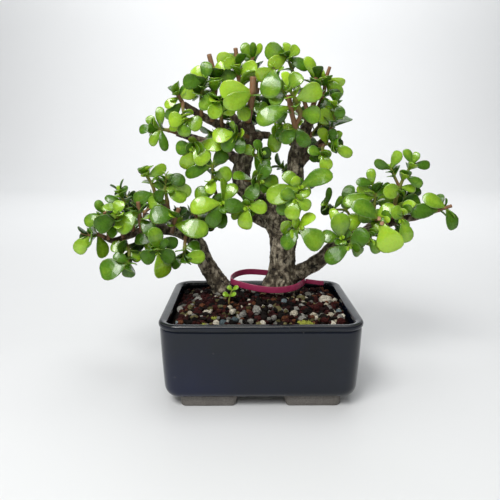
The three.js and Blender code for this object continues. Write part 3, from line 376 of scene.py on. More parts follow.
def toneOf(tree):
    # The three parts of the mesh's own tone attribute, and its whole colour
    node = put(tree, "ShaderNodeAttribute", attribute_name="tone")
    parts = put(tree, "ShaderNodeSeparateColor", {"Color": node.outputs["Color"]})
    return parts.outputs["Red"], parts.outputs["Green"], parts.outputs["Blue"], node.outputs["Color"]


leafLook = {
    "dark": (0.008, 0.028, 0.003), "middle": (0.080, 0.205, 0.007), "bright": (0.400, 0.650, 0.026),
    "rim": (0.360, 0.560, 0.120), "rimShare": 0.38, "neck": (0.300, 0.420, 0.040), "neckShare": 0.55,
    "roughness": (0.22, 0.36), "coat": (0.10, 1.0), "coatRoughness": 0.11, "mottleSize": 320.0,
    # How much the tone changes with the mottling, from neck to tip, and from the middle line to the rim: a
    # painted highlight along the middle fading to painted shade at the sides
    "mottled": 0.10, "alongTone": 0.16, "paintedShadingAcross": -0.16,
    "pitSize": 1500.0, "pitShare": 0.10, "dimpleSize": 300.0, "dimpleDepth": 0.0012, "dimpleStrength": 0.50,
}


def makeLeafMaterial():
    # Waxy leaf: a tone per leaf, soft mottling, a lighter middle as painted highlight with painted shade
    # towards the sides, a paler rim and neck, dimples and fine pits
    s = leafLook
    material, tree, shader, position = startMaterial(
        "waxy leaf", Coat_Roughness=s["coatRoughness"], IOR=1.45, Specular_IOR_Level=0.28,
        Subsurface_Weight=0.12, Subsurface_Scale=0.0025)
    tone, length, across, _ = toneOf(tree)
    tree.links.new(spread(tree, tone, 0.10, 0.8, *s["coat"]), shader.inputs["Coat Weight"])
    mottle = patches(tree, position, s["mottleSize"], 0.7)
    # The middle line's lift and the sides' fall in tone are painted highlight and painted shade
    for value, middle, factor in ((mottle, 0.5, s["mottled"]), (length, 0.55, s["alongTone"]),
                                  (across, 0.45, s["paintedShadingAcross"])):
        tone = compute(tree, "ADD", tone, centred(tree, value, middle, factor))
    colour = ramp(tree, tone, [(0.0, s["dark"]), (0.5, s["middle"]), (1.0, s["bright"])])
    colour = mixed(tree, scaled(tree, spread(tree, length, 0.28, 0.02), s["neckShare"]), colour, s["neck"])
    colour = mixed(tree, scaled(tree, spread(tree, across, 0.88, 1.0), s["rimShare"]), colour, s["rim"])
    finish(tree, shader, colour, spread(tree, mottle, 0.0, 1.0, *s["roughness"]))
    pits = grain(tree, position, shader, s["pitSize"], 0.0001, 0.22)
    dimples = put(tree, "ShaderNodeTexNoise", {"Vector": position, "Scale": s["dimpleSize"], "Detail": 2.0})
    relief = compute(tree, "ADD", dimples.outputs["Fac"], scaled(tree, pits, s["pitShare"]))
    bump = put(tree, "ShaderNodeBump", {"Height": relief, "Distance": s["dimpleDepth"],
                                        "Strength": s["dimpleStrength"]})
    tree.links.new(bump.outputs["Normal"], shader.inputs["Normal"])
    return material


twigLook = {
    "young": (0.200, 0.230, 0.026), "old": (0.250, 0.090, 0.028), "grey": (0.300, 0.190, 0.095),
    "cut": (0.560, 0.320, 0.180), "mark": (0.050, 0.032, 0.022), "markShare": 0.35, "roughness": (0.5, 0.7),
}


def makeTwigMaterial():
    # Twig: grey-brown where it leaves the wood, green towards its tip, and a pinkish cut
    s = twigLook
    material, tree, shader, position = startMaterial("young twig", IOR=1.45)
    age, _, cut, _ = toneOf(tree)
    marks = patches(tree, position, 900.0, 0.5)
    old = mixed(tree, marks, s["old"], s["grey"])
    colour = mixed(tree, spread(tree, age, 0.25, 0.75), s["young"], old)
    colour = mixed(tree, spread(tree, cut, 0.4, 0.9), colour, s["cut"])
    colour = mixed(tree, scaled(tree, marks, s["markShare"]), colour, s["mark"])
    finish(tree, shader, colour, spread(tree, marks, 0.0, 1.0, *s["roughness"]))
    grain(tree, position, shader, 1800.0, 0.0002, 0.5)
    return material


barkLook = {
    # The crack colour is painted shade in the relief's cracks and rings
    "crack": (0.004, 0.003, 0.002), "dark": (0.013, 0.009, 0.007), "middle": (0.074, 0.057, 0.035),
    "light": (0.450, 0.395, 0.290), "warm": (0.080, 0.040, 0.022), "roughness": (0.76, 0.94),
    # How much the speckles, the flakes and the broad patches change the tone
    "speckled": 0.75, "flaked": 0.35, "clouded": 0.25, "warmShare": 0.5,
}


def makeBarkMaterial():
    # Bark: grey-brown flakes, darkened in the cracks and rings of the modelled relief as painted shade,
    # warmer on the thin limbs
    s = barkLook
    material, tree, shader, position = startMaterial("grey bark", IOR=1.4)
    crack, thickness, flake, _ = toneOf(tree)
    speckle = put(tree, "ShaderNodeTexNoise", {"Vector": position, "Scale": 1400.0, "Detail": 6.0,
                                               "Roughness": 0.75}).outputs["Fac"]
    broad = patches(tree, position, 160.0, 0.6)
    level = compute(tree, "ADD", scaled(tree, speckle, s["speckled"]), scaled(tree, flake, s["flaked"]))
    level = compute(tree, "ADD", level, centred(tree, broad, 0.5, s["clouded"]))
    colour = ramp(tree, level, [(0.34, s["dark"]), (0.52, s["middle"]), (0.74, s["light"])])
    thin = spread(tree, thickness, 0.45, 0.15)
    colour = mixed(tree, scaled(tree, thin, s["warmShare"]), colour, s["warm"])
    # Painted shade: near-black in the cracks and rings
    colour = mixed(tree, spread(tree, crack, 0.25, 0.9), colour, s["crack"])
    finish(tree, shader, colour, spread(tree, speckle, 0.3, 0.7, *s["roughness"]))
    grain(tree, position, shader, 1300.0, 0.0005, 0.8)
    return material


glazeLook = {
    # The thin colour is both glaze breaking thin and a painted highlight for the glints on the lip's edges
    "deep": (0.0010, 0.0038, 0.0068), "blue": (0.0026, 0.0064, 0.0330), "thin": (0.050, 0.047, 0.041),
    "pinhole": (0.090, 0.085, 0.080), "roughness": (0.07, 0.15), "coat": 0.22, "coatRoughness": 0.03,
}


def makeGlazeMaterial():
    # Glaze: near-black navy, bluer low down on the left, paler along the lip's edges, where the glaze breaks
    # thin and where a painted highlight stands in for the glints
    s = glazeLook
    material, tree, shader, position = startMaterial(
        "navy glaze", Coat_Weight=s["coat"], Coat_Roughness=s["coatRoughness"], IOR=1.38)
    thinGlazeAndGlint, _, _, _ = toneOf(tree)
    spots = put(tree, "ShaderNodeSeparateXYZ", {"Vector": position})
    lowLeft = compute(tree, "MULTIPLY", spread(tree, spots.outputs["X"], 0.03, -0.08),
                    spread(tree, spots.outputs["Z"], 0.055, 0.012))
    cloud = patches(tree, position, 28.0, 0.7)
    blue = compute(tree, "ADD", scaled(tree, lowLeft, 0.75), scaled(tree, cloud, 0.35), True)
    colour = mixed(tree, blue, s["deep"], s["blue"])
    # Paler lines at the lip's edges: thin glaze, and painted highlight for the glints
    colour = mixed(tree, scaled(tree, thinGlazeAndGlint, 0.7), colour, s["thin"])
    pinholes = put(tree, "ShaderNodeTexVoronoi", {"Vector": position, "Scale": 140.0}, feature="F1")
    pin = spread(tree, pinholes.outputs["Distance"], 0.10, 0.04)
    rare = spread(tree, patches(tree, position, 60.0, 0.2), 0.6, 1.0)
    colour = mixed(tree, scaled(tree, compute(tree, "MULTIPLY", pin, rare), 0.5), colour, s["pinhole"])
    finish(tree, shader, colour, spread(tree, cloud, 0.0, 1.0, *s["roughness"]))
    waves = put(tree, "ShaderNodeTexNoise", {"Vector": position, "Scale": 45.0, "Detail": 2.0})
    bump = put(tree, "ShaderNodeBump", {"Height": waves.outputs["Fac"], "Distance": 0.0012, "Strength": 0.35})
    tree.links.new(bump.outputs["Normal"], shader.inputs["Normal"])
    return material


def makeClayMaterial():
    # Bare fired clay of the feet and the underside: broad clouds and small dark specks
    material, tree, shader, position = startMaterial("bare clay", IOR=1.45)
    broad = patches(tree, position, 70.0, 0.6)
    specks = patches(tree, position, 1200.0, 0.3)
    colour = mixed(tree, broad, (0.150, 0.138, 0.124), (0.220, 0.206, 0.188))
    colour = mixed(tree, scaled(tree, specks, 0.35), colour, (0.060, 0.050, 0.042))
    finish(tree, shader, colour, spread(tree, specks, 0.0, 1.0, 0.62, 0.82))
    grain(tree, position, shader, 1400.0, 0.0002, 0.5)
    return material


def makeStoneMaterial():
    # Gravel: each stone's own colour, pitted and very lightly dusted
    material, tree, shader, position = startMaterial("gravel", IOR=1.3, Specular_IOR_Level=0.2)
    _, _, _, own = toneOf(tree)
    pits = patches(tree, position, 1100.0, 0.45)
    dust = patches(tree, position, 500.0, 0.5)
    colour = mixed(tree, scaled(tree, pits, 0.72), own, (0.004, 0.003, 0.003))
    colour = mixed(tree, scaled(tree, dust, 0.015), colour, (0.36, 0.32, 0.27))
    finish(tree, shader, colour, spread(tree, pits, 0.0, 1.0, 0.7, 0.95))
    grain(tree, position, shader, 1500.0, 0.0005, 0.8)
    return material


def makeMossMaterial():
    # Moss: yellow-green tips over darker feet
    material, tree, shader, position = startMaterial("moss", IOR=1.4)
    height, _, _, _ = toneOf(tree)
    tuft = patches(tree, position, 900.0, 0.5)
    colour = mixed(tree, height, (0.030, 0.055, 0.008), (0.330, 0.360, 0.040))
    colour = mixed(tree, scaled(tree, tuft, 0.3), colour, (0.50, 0.47, 0.12))
    finish(tree, shader, colour, spread(tree, tuft, 0.0, 1.0, 0.7, 0.9))
    return material


# Finishes of two colours in clouds: the clouds' size and contrast, the two colours, roughness from and to,
# and the grain's size, depth and strength
cloudLooks = {
    "soil bed": {"cloud": (700.0, 0.5), "colours": ((0.002, 0.0015, 0.0015), (0.009, 0.005, 0.004)),
                 "roughness": (0.85, 0.98), "grain": (700.0, 0.0008, 0.9),
                 "shader": {"IOR": 1.25, "Specular_IOR_Level": 0.1}},
    "crimson tag": {"cloud": (220.0, 0.6), "colours": ((0.300, 0.018, 0.075), (0.370, 0.030, 0.105)),
                    "roughness": (0.34, 0.46), "grain": (1600.0, 0.0001, 0.2),
                    "shader": {"IOR": 1.46, "Coat_Weight": 0.15, "Coat_Roughness": 0.2}},
    "black mesh": {"cloud": (300.0, 0.6), "colours": ((0.010, 0.010, 0.010), (0.022, 0.022, 0.021)),
                   "roughness": (0.5, 0.65), "grain": (1500.0, 0.0001, 0.3), "shader": {"IOR": 1.46}},
}


def makeCloudMaterial(name):
    s = cloudLooks[name]
    material, tree, shader, position = startMaterial(name, **s["shader"])
    cloud = patches(tree, position, *s["cloud"])
    finish(tree, shader, mixed(tree, cloud, *s["colours"]), spread(tree, cloud, 0.0, 1.0, *s["roughness"]))
    grain(tree, position, shader, *s["grain"])
    return material


leafSkin = makeLeafMaterial()
twigSkin = makeTwigMaterial()
barkSkin = makeBarkMaterial()
glazeSkin = makeGlazeMaterial()
claySkin = makeClayMaterial()
stoneSkin = makeStoneMaterial()
bedSkin = makeCloudMaterial("soil bed")
mossSkin = makeMossMaterial()
tagSkin = makeCloudMaterial("crimson tag")
meshSkin = makeCloudMaterial("black mesh")
print("materials ready", len(bpy.data.materials))

pot = {
    "width": 155.0, "depth": 120.0, "height": 68.9, "cornerRadius": 15.8, "undersideZ": 8.7,
    "bottomInset": 2.6, "bottomRound": 8.0, "wall": 7.0, "floor": 6.0, "lipHeight": 4.5, "lipProud": 0.8,
    "footInsetX": 15.3, "footInsetY": 8.3, "footWidth": 45.0, "footDepth": 24.0, "footRound": 5.0,
    "footBackRound": 1.2, "footSlope": 2.4,
    "drainRadius": 6.0, "drainX": 30.0, "drainSides": 40, "drainReach": 6.0,
    "cornerSteps": 12, "sideSteps": 10,
    # How far the lip's lower edge wavers, how long a wave is and how far it reaches from the edge
    "waver": 0.55, "waverSize": 17.0, "waverReach": 1.6,
    # The lip's outer and inner edge, where the glaze breaks thin and a painted highlight line stands in for
    # glints, as insets, and how wide and deep that goes
    "edges": (0.7, 6.3), "edgeWidth": 0.4, "edgeDepth": 1.5,
}


def roundedRing(inset, z, cornerSteps, sideSteps):
    # A rectangle with round corners, moved inwards: a quarter circle at each corner, points along each side
    radius = max(pot["cornerRadius"] - inset, 2.0)
    halfX, halfY = pot["width"] / 2 - inset - radius, pot["depth"] / 2 - inset - radius
    ring = []
    corners = [(1, 1), (-1, 1), (-1, -1), (1, -1)]
    for c, (sx, sy) in enumerate(corners):
        angle = (c + np.linspace(0, 1, cornerSteps + 1)) * np.pi / 2
        ring.append(np.stack([sx * halfX + radius * np.cos(angle), sy * halfY + radius * np.sin(angle)], 1))
        nx, ny = corners[(c + 1) % 4]
        end = angle[-1]
        start = ring[-1][-1]
        stop = np.array([nx * halfX + radius * math.cos(end), ny * halfY + radius * math.sin(end)])
        steps = np.linspace(0, 1, sideSteps + 1)[1:-1, None]
        ring.append(start + (stop - start) * steps)
    ring = np.vstack(ring)
    return np.column_stack([ring, np.full(len(ring), z)])


def outsideInset(z):
    # The side leans in by a power of the depth below the rim
    share = (z - pot["undersideZ"]) / (pot["height"] - pot["undersideZ"])
    return pot["bottomInset"] * (1 - share) ** 1.6 + pot["lipProud"]


def makePot():
    # One profile carried round the rounded rectangle: underside, lower edge, side, groove, lip and inside
    low, r, high = pot["undersideZ"], pot["bottomRound"], pot["height"]
    lipLow = high - pot["lipHeight"]
    floorTop = low + pot["floor"]
    profile = [(50.0, low), (30.0, low)]
    for a in np.linspace(0, np.pi / 2, 9):
        z = low + r * (1 - math.cos(a))
        profile.append((outsideInset(z) + r * 0.6 * (1 - math.sin(a)), z))
    profile += [(outsideInset(z), z) for z in np.linspace(low + r + 4, lipLow - 3, 9)]
    profile += [(1.0, lipLow - 1.5), (1.3, lipLow - 0.7), (1.45, lipLow - 0.2), (0.75, lipLow + 0.15),
                (0.2, lipLow + 0.55), (0.02, lipLow + 1.2), (0.0, high - 2.1), (0.14, high - 1.4),
                (0.45, high - 0.8), (0.95, high - 0.36), (1.6, high - 0.1), (2.4, high), (3.3, high - 0.06),
                (4.2, high - 0.28), (5.1, high - 0.66), (5.9, high - 1.2), (6.5, high - 1.9),
                (6.85, high - 2.9), (7.0, high - 5.0), (7.0, 45.0)]
    profile += [(9.0, floorTop + 6), (10.6, floorTop + 2.4)]
    profile += [(inset, floorTop) for inset in (13.0, 30.0, 50.0)]
    rings = np.array([roundedRing(inset, z, pot["cornerSteps"], pot["sideSteps"]) for inset, z in profile])
    # The hand-finished lip: its lower edge wavers a little
    flat = rings.reshape(-1, 3)
    nearLip = np.exp(-((flat[:, 2] - lipLow) / pot["waverReach"]) ** 2)
    outer = (np.abs(flat[:, 0]) > pot["width"] / 2 - 4) | (np.abs(flat[:, 1]) > pot["depth"] / 2 - 4)
    flat[:, 2] += latticeNoise(flat * [1, 1, 0], pot["waverSize"], 5) * pot["waver"] * nearLip * outer
    rings = flat.reshape(rings.shape)
    # The lip's edge lines: thin glaze, and painted highlight for the glints
    thinGlazeAndGlint = np.zeros(len(profile))
    for i, (inset, z) in enumerate(profile):
        outerEdge, innerEdge = (math.exp(-((inset - at) / pot["edgeWidth"]) ** 2) for at in pot["edges"])
        thinGlazeAndGlint[i] = (outerEdge + innerEdge) * (z > high - pot["edgeDepth"])
    count = rings.shape[1]
    points = np.vstack([rings.reshape(-1, 3), [[0, 0, low], [0, 0, floorTop]]])
    tones = np.ones((len(points), 4))
    tones[:-2, 0] = np.repeat(thinGlazeAndGlint, count)
    tones[-2:, 0] = 0
    quads, tris = skinFaces(len(profile), count)
    heap = Heap()
    glazed = np.array([z > low + 0.6 for _, z in profile])
    heap.add(toFrame(points), quads, tris, tones)
    mesh = heap.mesh("pot_body")
    look = np.zeros(len(mesh.polygons), np.int32)
    # Quads come first, then the fan of the underside, which stays bare clay, then that of the floor inside
    ringOfFace = np.repeat(np.arange(len(profile) - 1), count)
    look[:len(ringOfFace)] = np.where(glazed[ringOfFace + 1], 0, 1)
    look[len(ringOfFace):len(ringOfFace) + count] = 1
    mesh.polygons.foreach_set("material_index", look)
    piece = addPiece("pot_body", mesh, ["pot"], [glazeSkin, claySkin])
    cutters = []
    for side in (-1, 1):
        x, reach = side * pot["drainX"], pot["drainReach"]
        ends = [(x, 0, low - reach), (x, 0, floorTop + reach)]
        grid, _ = tubeGrid(ends, [pot["drainRadius"]] * 2, 2, pot["drainSides"])
        cutHeap = Heap()
        cutPoints = np.vstack([grid.reshape(-1, 3), ends])
        cutHeap.add(toFrame(cutPoints), *skinFaces(2, pot["drainSides"]), np.ones(4))
        cutter = bpy.data.objects.new("drain_cutter", cutHeap.mesh("drain_cutter", False))
        cutter.data.materials.append(claySkin)
        bpy.context.scene.collection.objects.link(cutter)
        modifier = piece.modifiers.new("drain", "BOOLEAN")
        modifier.object = cutter
        modifier.operation = "DIFFERENCE"
        modifier.solver = "EXACT"
        cutters.append(cutter)
    finished(piece)
    for cutter in cutters:
        bpy.data.objects.remove(cutter)
    return piece


def makeFeet():
    # Each foot: its outline carried up from a rounded sole, with the inner end sloping back towards the floor
    w, d, r, back = pot["footWidth"], pot["footDepth"], pot["footRound"], pot["footBackRound"]
    outline = []
    for cx, cy, start, radius in ((w / 2, -d / 2, -np.pi / 2, r), (w / 2, d / 2, 0, back),
                                  (-w / 2, d / 2, np.pi / 2, back), (-w / 2, -d / 2, np.pi, r)):
        angle = start + np.linspace(0, np.pi / 2, 7)
        outline.append(np.stack([cx - math.copysign(radius, cx) + radius * np.cos(angle),
                                 cy - math.copysign(radius, cy) + radius * np.sin(angle)], 1))
    outline = np.vstack(outline)
    levels = [(0.9, 0.0), (0.35, 0.25), (0.0, 0.9), (0.0, 4.0), (0.0, 8.0), (0.0, pot["undersideZ"] + 1.5)]
    heap = Heap()
    quads, tris = skinFaces(len(levels), len(outline))
    for sx in (-1, 1):
        for sy in (-1, 1):
            shape = outline if sy < 0 else -outline
            x = sx * (pot["width"] / 2 - pot["footInsetX"] - w / 2)
            y = sy * (pot["depth"] / 2 - pot["footInsetY"] - d / 2)
            rings = []
            for inset, z in levels:
                ring = shape * (1 - inset * 2 / np.array([w, d]))
                slope = np.clip(1 - z / pot["undersideZ"], 0, 1) * pot["footSlope"]
                ring = ring - np.outer(np.clip(-ring[:, 0] * sx / (w / 2), 0, 1) ** 6 * slope * -sx, [1, 0])
                rings.append(np.column_stack([ring + [x, y], np.full(len(ring), z)]))
            points = np.vstack(rings + [[[x, y, 0]], [[x, y, levels[-1][1]]]])
            heap.add(toFrame(points), quads, tris, np.ones(4))
    return addPiece("pot_feet", heap.mesh("pot_feet"), ["pot"], [claySkin])


makePot()
makeFeet()
for node in ("drain_mesh_left", "drain_mesh_right"):
    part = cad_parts[node]
    part.data.materials.clear()
    part.data.materials.append(meshSkin)
print("pot, feet and drain squares ready")

soil = {
    "wallZ": 62.5, "moundHeight": 9.5, "bottomZ": 17.6, "bedDrop": 1.9, "bedRough": 0.5, "bedRoughSize": 2.6,
    "spacing": 4.2, "shake": 0.9, "kept": 0.88, "small": (1.8, 3.7), "seed": 77, "clearance": 0.35,
    # How high the two layers lie on the mound, and how often the faces are cut and how deeply they are dented
    "layerLow": -1.8, "layerRise": 1.4, "layerShake": 0.9, "smallCuts": 0, "smallDents": 0.45,
    "largeCuts": 2, "largeDents": 0.24, "largeLift": 0.15,
    # What the gravel is made of: linear colour from and to, share of all stones
    "kinds": [
        ((0.009, 0.002, 0.002), (0.066, 0.01, 0.009), 0.41),
        ((0.002, 0.0015, 0.0015), (0.009, 0.006, 0.005), 0.32),
        ((0.13, 0.125, 0.105), (0.42, 0.41, 0.37), 0.074),
        ((0.48, 0.42, 0.3), (0.88, 0.82, 0.68), 0.056),
        ((0.08, 0.115, 0.13), (0.24, 0.31, 0.33), 0.028),
        ((0.09, 0.08, 0.03), (0.26, 0.23, 0.1), 0.06),
        ((0.09, 0.028, 0.012), (0.17, 0.06, 0.026), 0.053),
    ],
    # Larger stones seen on top: x, y, half sizes, kind
    "large": [(-2.9, -31, 5.2, 3.6, 3.4, 2), (57, 5, 5.8, 4.6, 4.2, 3), (26, -34, 3.4, 3.0, 3.0, 3),
              (-14, -36, 3.0, 2.6, 2.4, 2), (-34, -45, 2.8, 2.5, 2.3, 3), (-22, -31, 2.7, 2.4, 2.2, 3),
              (-42, -28, 3.4, 1.8, 1.8, 3), (20, -12, 2.6, 2.3, 2.2, 4), (45, -20, 3.6, 2.8, 2.6, 0),
              (64, -18, 2.7, 2.4, 2.2, 4), (57, -14, 3.0, 2.4, 2.2, 2), (10, -40, 2.8, 2.2, 2.2, 2),
              (-8, -44, 2.6, 2.2, 2.0, 2), (1, -46, 2.5, 2.2, 2.0, 3), (-52, 4, 3.4, 2.8, 2.6, 2),
              (-60, 20, 3.4, 2.8, 2.4, 0), (43, 14, 3.0, 2.4, 2.2, 2), (36, 0, 3.2, 2.6, 2.4, 5),
              (-40, -6, 3.6, 3.0, 2.8, 0), (-57, -12, 3.0, 2.4, 2.4, 5), (49, -40, 3.2, 2.6, 2.4, 0),
              (62, -38, 3.4, 2.8, 2.4, 0), (-62, -30, 3.2, 2.6, 2.4, 0), (-30, 34, 3.6, 2.8, 2.6, 2),
              (50, 34, 3.6, 3.0, 2.6, 0), (8, 44, 3.4, 2.8, 2.6, 3)],
}


def moundHeight(x, y):
    # A low mound that falls from the middle to the walls
    u = np.minimum(np.abs(x) / (pot["width"] / 2 - pot["wall"]), 1)
    v = np.minimum(np.abs(y) / (pot["depth"] / 2 - pot["wall"]), 1)
    return soil["wallZ"] + soil["moundHeight"] * (1 - u ** 2.2) * (1 - v ** 2.6)


def makeBed():
    # The fill below the stones: rings up the walls, then the mound, roughened
    bottom, drop = soil["bottomZ"], soil["bedDrop"]
    levels = [(40.0, bottom), (13.6, bottom), (9.6, 22.0), (7.6, 40.0), (7.5, soil["wallZ"] - 2.2)]
    rings = [roundedRing(inset, z, 8, 8) for inset, z in levels]
    rim = rings[-1]
    for share in np.linspace(0.96, 0.06, 22):
        ring = rim * [share, share, 1]
        ring[:, 2] = moundHeight(ring[:, 0], ring[:, 1]) - drop
        rings.append(ring)
    points = np.vstack(rings + [[[0, 0, bottom]], [[0, 0, moundHeight(0.0, 0.0) - drop]]])
    top = points[:, 2] > soil["wallZ"] - 2.5
    points[:, 2] += top * soil["bedRough"] * latticeNoise(points, soil["bedRoughSize"], 3)
    quads, tris = skinFaces(len(rings), len(rim))
    heap = Heap()
    heap.add(toFrame(points), quads, tris, np.ones(4))
    return addPiece("soil_bed", heap.mesh("soil_bed"), ["soil"], [bedSkin])


def roundStone(cuts):
    # An icosahedron with each face cut in four as often as asked, on the unit sphere
    g = (1 + math.sqrt(5)) / 2
    points = [(-1, g, 0), (1, g, 0), (-1, -g, 0), (1, -g, 0), (0, -1, g), (0, 1, g), (0, -1, -g), (0, 1, -g),
              (g, 0, -1), (g, 0, 1), (-g, 0, -1), (-g, 0, 1)]
    faces = [(0, 11, 5), (0, 5, 1), (0, 1, 7), (0, 7, 10), (0, 10, 11), (1, 5, 9), (5, 11, 4), (11, 10, 2),
             (10, 7, 6), (7, 1, 8), (3, 9, 4), (3, 4, 2), (3, 2, 6), (3, 6, 8), (3, 8, 9), (4, 9, 5),
             (2, 4, 11), (6, 2, 10), (8, 6, 7), (9, 8, 1)]
    for _ in range(cuts):
        middle = {}
        finer = []
        for first, second, third in faces:
            new = []
            for a, b in ((first, second), (second, third), (third, first)):
                key = (min(a, b), max(a, b))
                if key not in middle:
                    middle[key] = len(points)
                    points.append(tuple((np.array(points[a]) + np.array(points[b])) / 2))
                new.append(middle[key])
            finer += [(first, new[0], new[2]), (second, new[1], new[0]), (third, new[2], new[1]), tuple(new)]
        faces = finer
    return unit(np.array(points, float)), np.array(faces)


def addStones(heap, centres, sizes, colours, cuts, rough, rng):
    # Every stone is the round one, stretched, dented by random numbers and turned
    shape, faces = roundStone(cuts)
    count = len(centres)
    dents = 1 + rough * (rng.random((count, len(shape), 1)) - 0.5)
    points = shape[None] * dents * sizes[:, None, :]
    tip = rng.random((count, 3)) * [0.9, 0.9, 2 * np.pi]
    cx, sx, cz, sz = np.cos(tip[:, 0]), np.sin(tip[:, 0]), np.cos(tip[:, 2]), np.sin(tip[:, 2])
    x, y, z = points[..., 0], points[..., 1], points[..., 2]
    y, z = y * cx[:, None] - z * sx[:, None], y * sx[:, None] + z * cx[:, None]
    x, y = x * cz[:, None] - y * sz[:, None], x * sz[:, None] + y * cz[:, None]
    points = np.stack([x, y, z], -1) + centres[:, None]
    tris = (faces[None] + np.arange(count)[:, None, None] * len(shape)).reshape(-1, 3)
    tones = np.ones((count, len(shape), 4))
    tones[..., :3] = colours[:, None]
    heap.add(toFrame(points.reshape(-1, 3)), noQuads, tris, tones.reshape(-1, 4))


def makeGravel():
    # Stones on a shaken grid over the mound, in two layers, with the larger ones set on top
    rng = np.random.default_rng(soil["seed"])
    halfX, halfY = pot["width"] / 2 - pot["wall"], pot["depth"] / 2 - pot["wall"]
    step = soil["spacing"]
    gx, gy = np.meshgrid(np.arange(-halfX, halfX, step), np.arange(-halfY, halfY, step))
    spots = np.column_stack([gx.ravel(), gy.ravel()])
    spots = np.vstack([spots, spots + [step / 2, step / 2]])
    layer = np.repeat([0.0, 1.0], len(gx.ravel()))
    spots += (rng.random(spots.shape) - 0.5) * step * soil["shake"]
    size = between(soil["small"], rng.random(len(spots)) ** 1.6)
    corner = pot["cornerRadius"] - pot["wall"]
    room = size * 1.25 + soil["clearance"]
    dx = np.maximum(np.abs(spots[:, 0]) - (halfX - corner), 0)
    dy = np.maximum(np.abs(spots[:, 1]) - (halfY - corner), 0)
    keep = np.hypot(dx, dy) < corner - room
    for x, y, a, b, *_ in soil["large"]:
        keep &= np.hypot((spots[:, 0] - x) / (a * 0.9), (spots[:, 1] - y) / (b * 0.9)) > 1
    keep &= rng.random(len(spots)) < soil["kept"]
    spots, size, layer = spots[keep], size[keep], layer[keep]
    # More pale stones towards the front right
    pale = np.clip((-spots[:, 1] + spots[:, 0] * 0.6) / 60 + 0.2, 0, 1)
    shares = np.array([kind[2] for kind in soil["kinds"]])
    weights = np.repeat(shares[None], len(spots), 0)
    weights[:, 2:5] *= (0.55 + 1.15 * pale)[:, None]
    weights /= weights.sum(1, keepdims=True)
    kind = (rng.random((len(spots), 1)) > np.cumsum(weights, 1)).sum(1)
    kind = np.minimum(kind, len(shares) - 1)
    lows = np.array([k[0] for k in soil["kinds"]])[kind]
    highs = np.array([k[1] for k in soil["kinds"]])[kind]
    colours = between((lows, highs), rng.random((len(spots), 1)))
    z = moundHeight(spots[:, 0], spots[:, 1]) + soil["layerLow"] + layer * soil["layerRise"] \
        + (rng.random(len(spots)) - 0.5) * soil["layerShake"]
    sizes = size[:, None] * np.stack([0.85 + 0.4 * rng.random(len(size)), 0.75 + 0.35 * rng.random(len(size)),
                                      0.6 + 0.35 * rng.random(len(size))], 1)
    heap = Heap()
    addStones(heap, np.column_stack([spots, z]), sizes, colours, soil["smallCuts"], soil["smallDents"], rng)
    large = np.array(soil["large"], float)
    lows = np.array([soil["kinds"][int(k)][0] for k in large[:, 5]])
    highs = np.array([soil["kinds"][int(k)][1] for k in large[:, 5]])
    z = moundHeight(large[:, 0], large[:, 1]) + large[:, 4] * soil["largeLift"]
    colours = between((lows, highs), 0.4 + 0.5 * rng.random((len(large), 1)))
    addStones(heap, np.column_stack([large[:, :2], z]), large[:, 2:5], colours, soil["largeCuts"],
              soil["largeDents"], rng)
    print("gravel stones", len(spots) + len(large))
    return addPiece("gravel", heap.mesh("gravel", False), [], [stoneSkin])


# Moss tufts as x, y, radius and how many spikes, and the spikes' heights
moss = {"tufts": [(33, -47.5, 6.5, 300), (-43, -48.5, 2.2, 60), (-36, -40, 1.6, 40), (57, 8, 2.0, 50)],
        "blade": (0.45, 1.5), "seed": 31}


def makeMoss():
    # Short four-sided spikes, thickest in the middle of each tuft
    rng = np.random.default_rng(moss["seed"])
    heap = Heap()
    spike = np.array([[1, 0, 0], [0, 1, 0], [-1, 0, 0], [0, -1, 0], [0, 0, 1.0], [0, 0, -0.6]])
    faces = np.array([(0, 1, 4), (1, 2, 4), (2, 3, 4), (3, 0, 4), (1, 0, 5), (2, 1, 5), (3, 2, 5), (0, 3, 5)])
    for x, y, radius, count in moss["tufts"]:
        angle, far = rng.random(count) * 2 * np.pi, radius * rng.random(count) ** 0.7
        cx, cy = x + far * np.cos(angle), np.maximum(y + far * 0.6 * np.sin(angle), -pot["depth"] / 2 + 8.2)
        high = between(moss["blade"], rng.random(count))
        base = moundHeight(cx, cy) + 0.4 + 0.8 * (1 - far / radius)
        points = spike[None] * np.stack([high * 0.42, high * 0.42, high * 1.5], 1)[:, None]
        lean = (rng.random((count, 1, 2)) - 0.5) * 1.6
        points[..., :2] += lean * points[..., 2:]
        points += np.column_stack([cx, cy, base])[:, None]
        tones = np.ones((count, 6, 4))
        tones[..., 0] = np.array([0.45, 0.45, 0.45, 0.45, 1, 0.1])
        tris = (faces[None] + np.arange(count)[:, None, None] * 6).reshape(-1, 3)
        heap.add(toFrame(points.reshape(-1, 3)), noQuads, tris, tones.reshape(-1, 4))
    return addPiece("moss", heap.mesh("moss"), [], [mossSkin])


makeBed()
makeGravel()
makeMoss()
print("soil, gravel and moss ready")

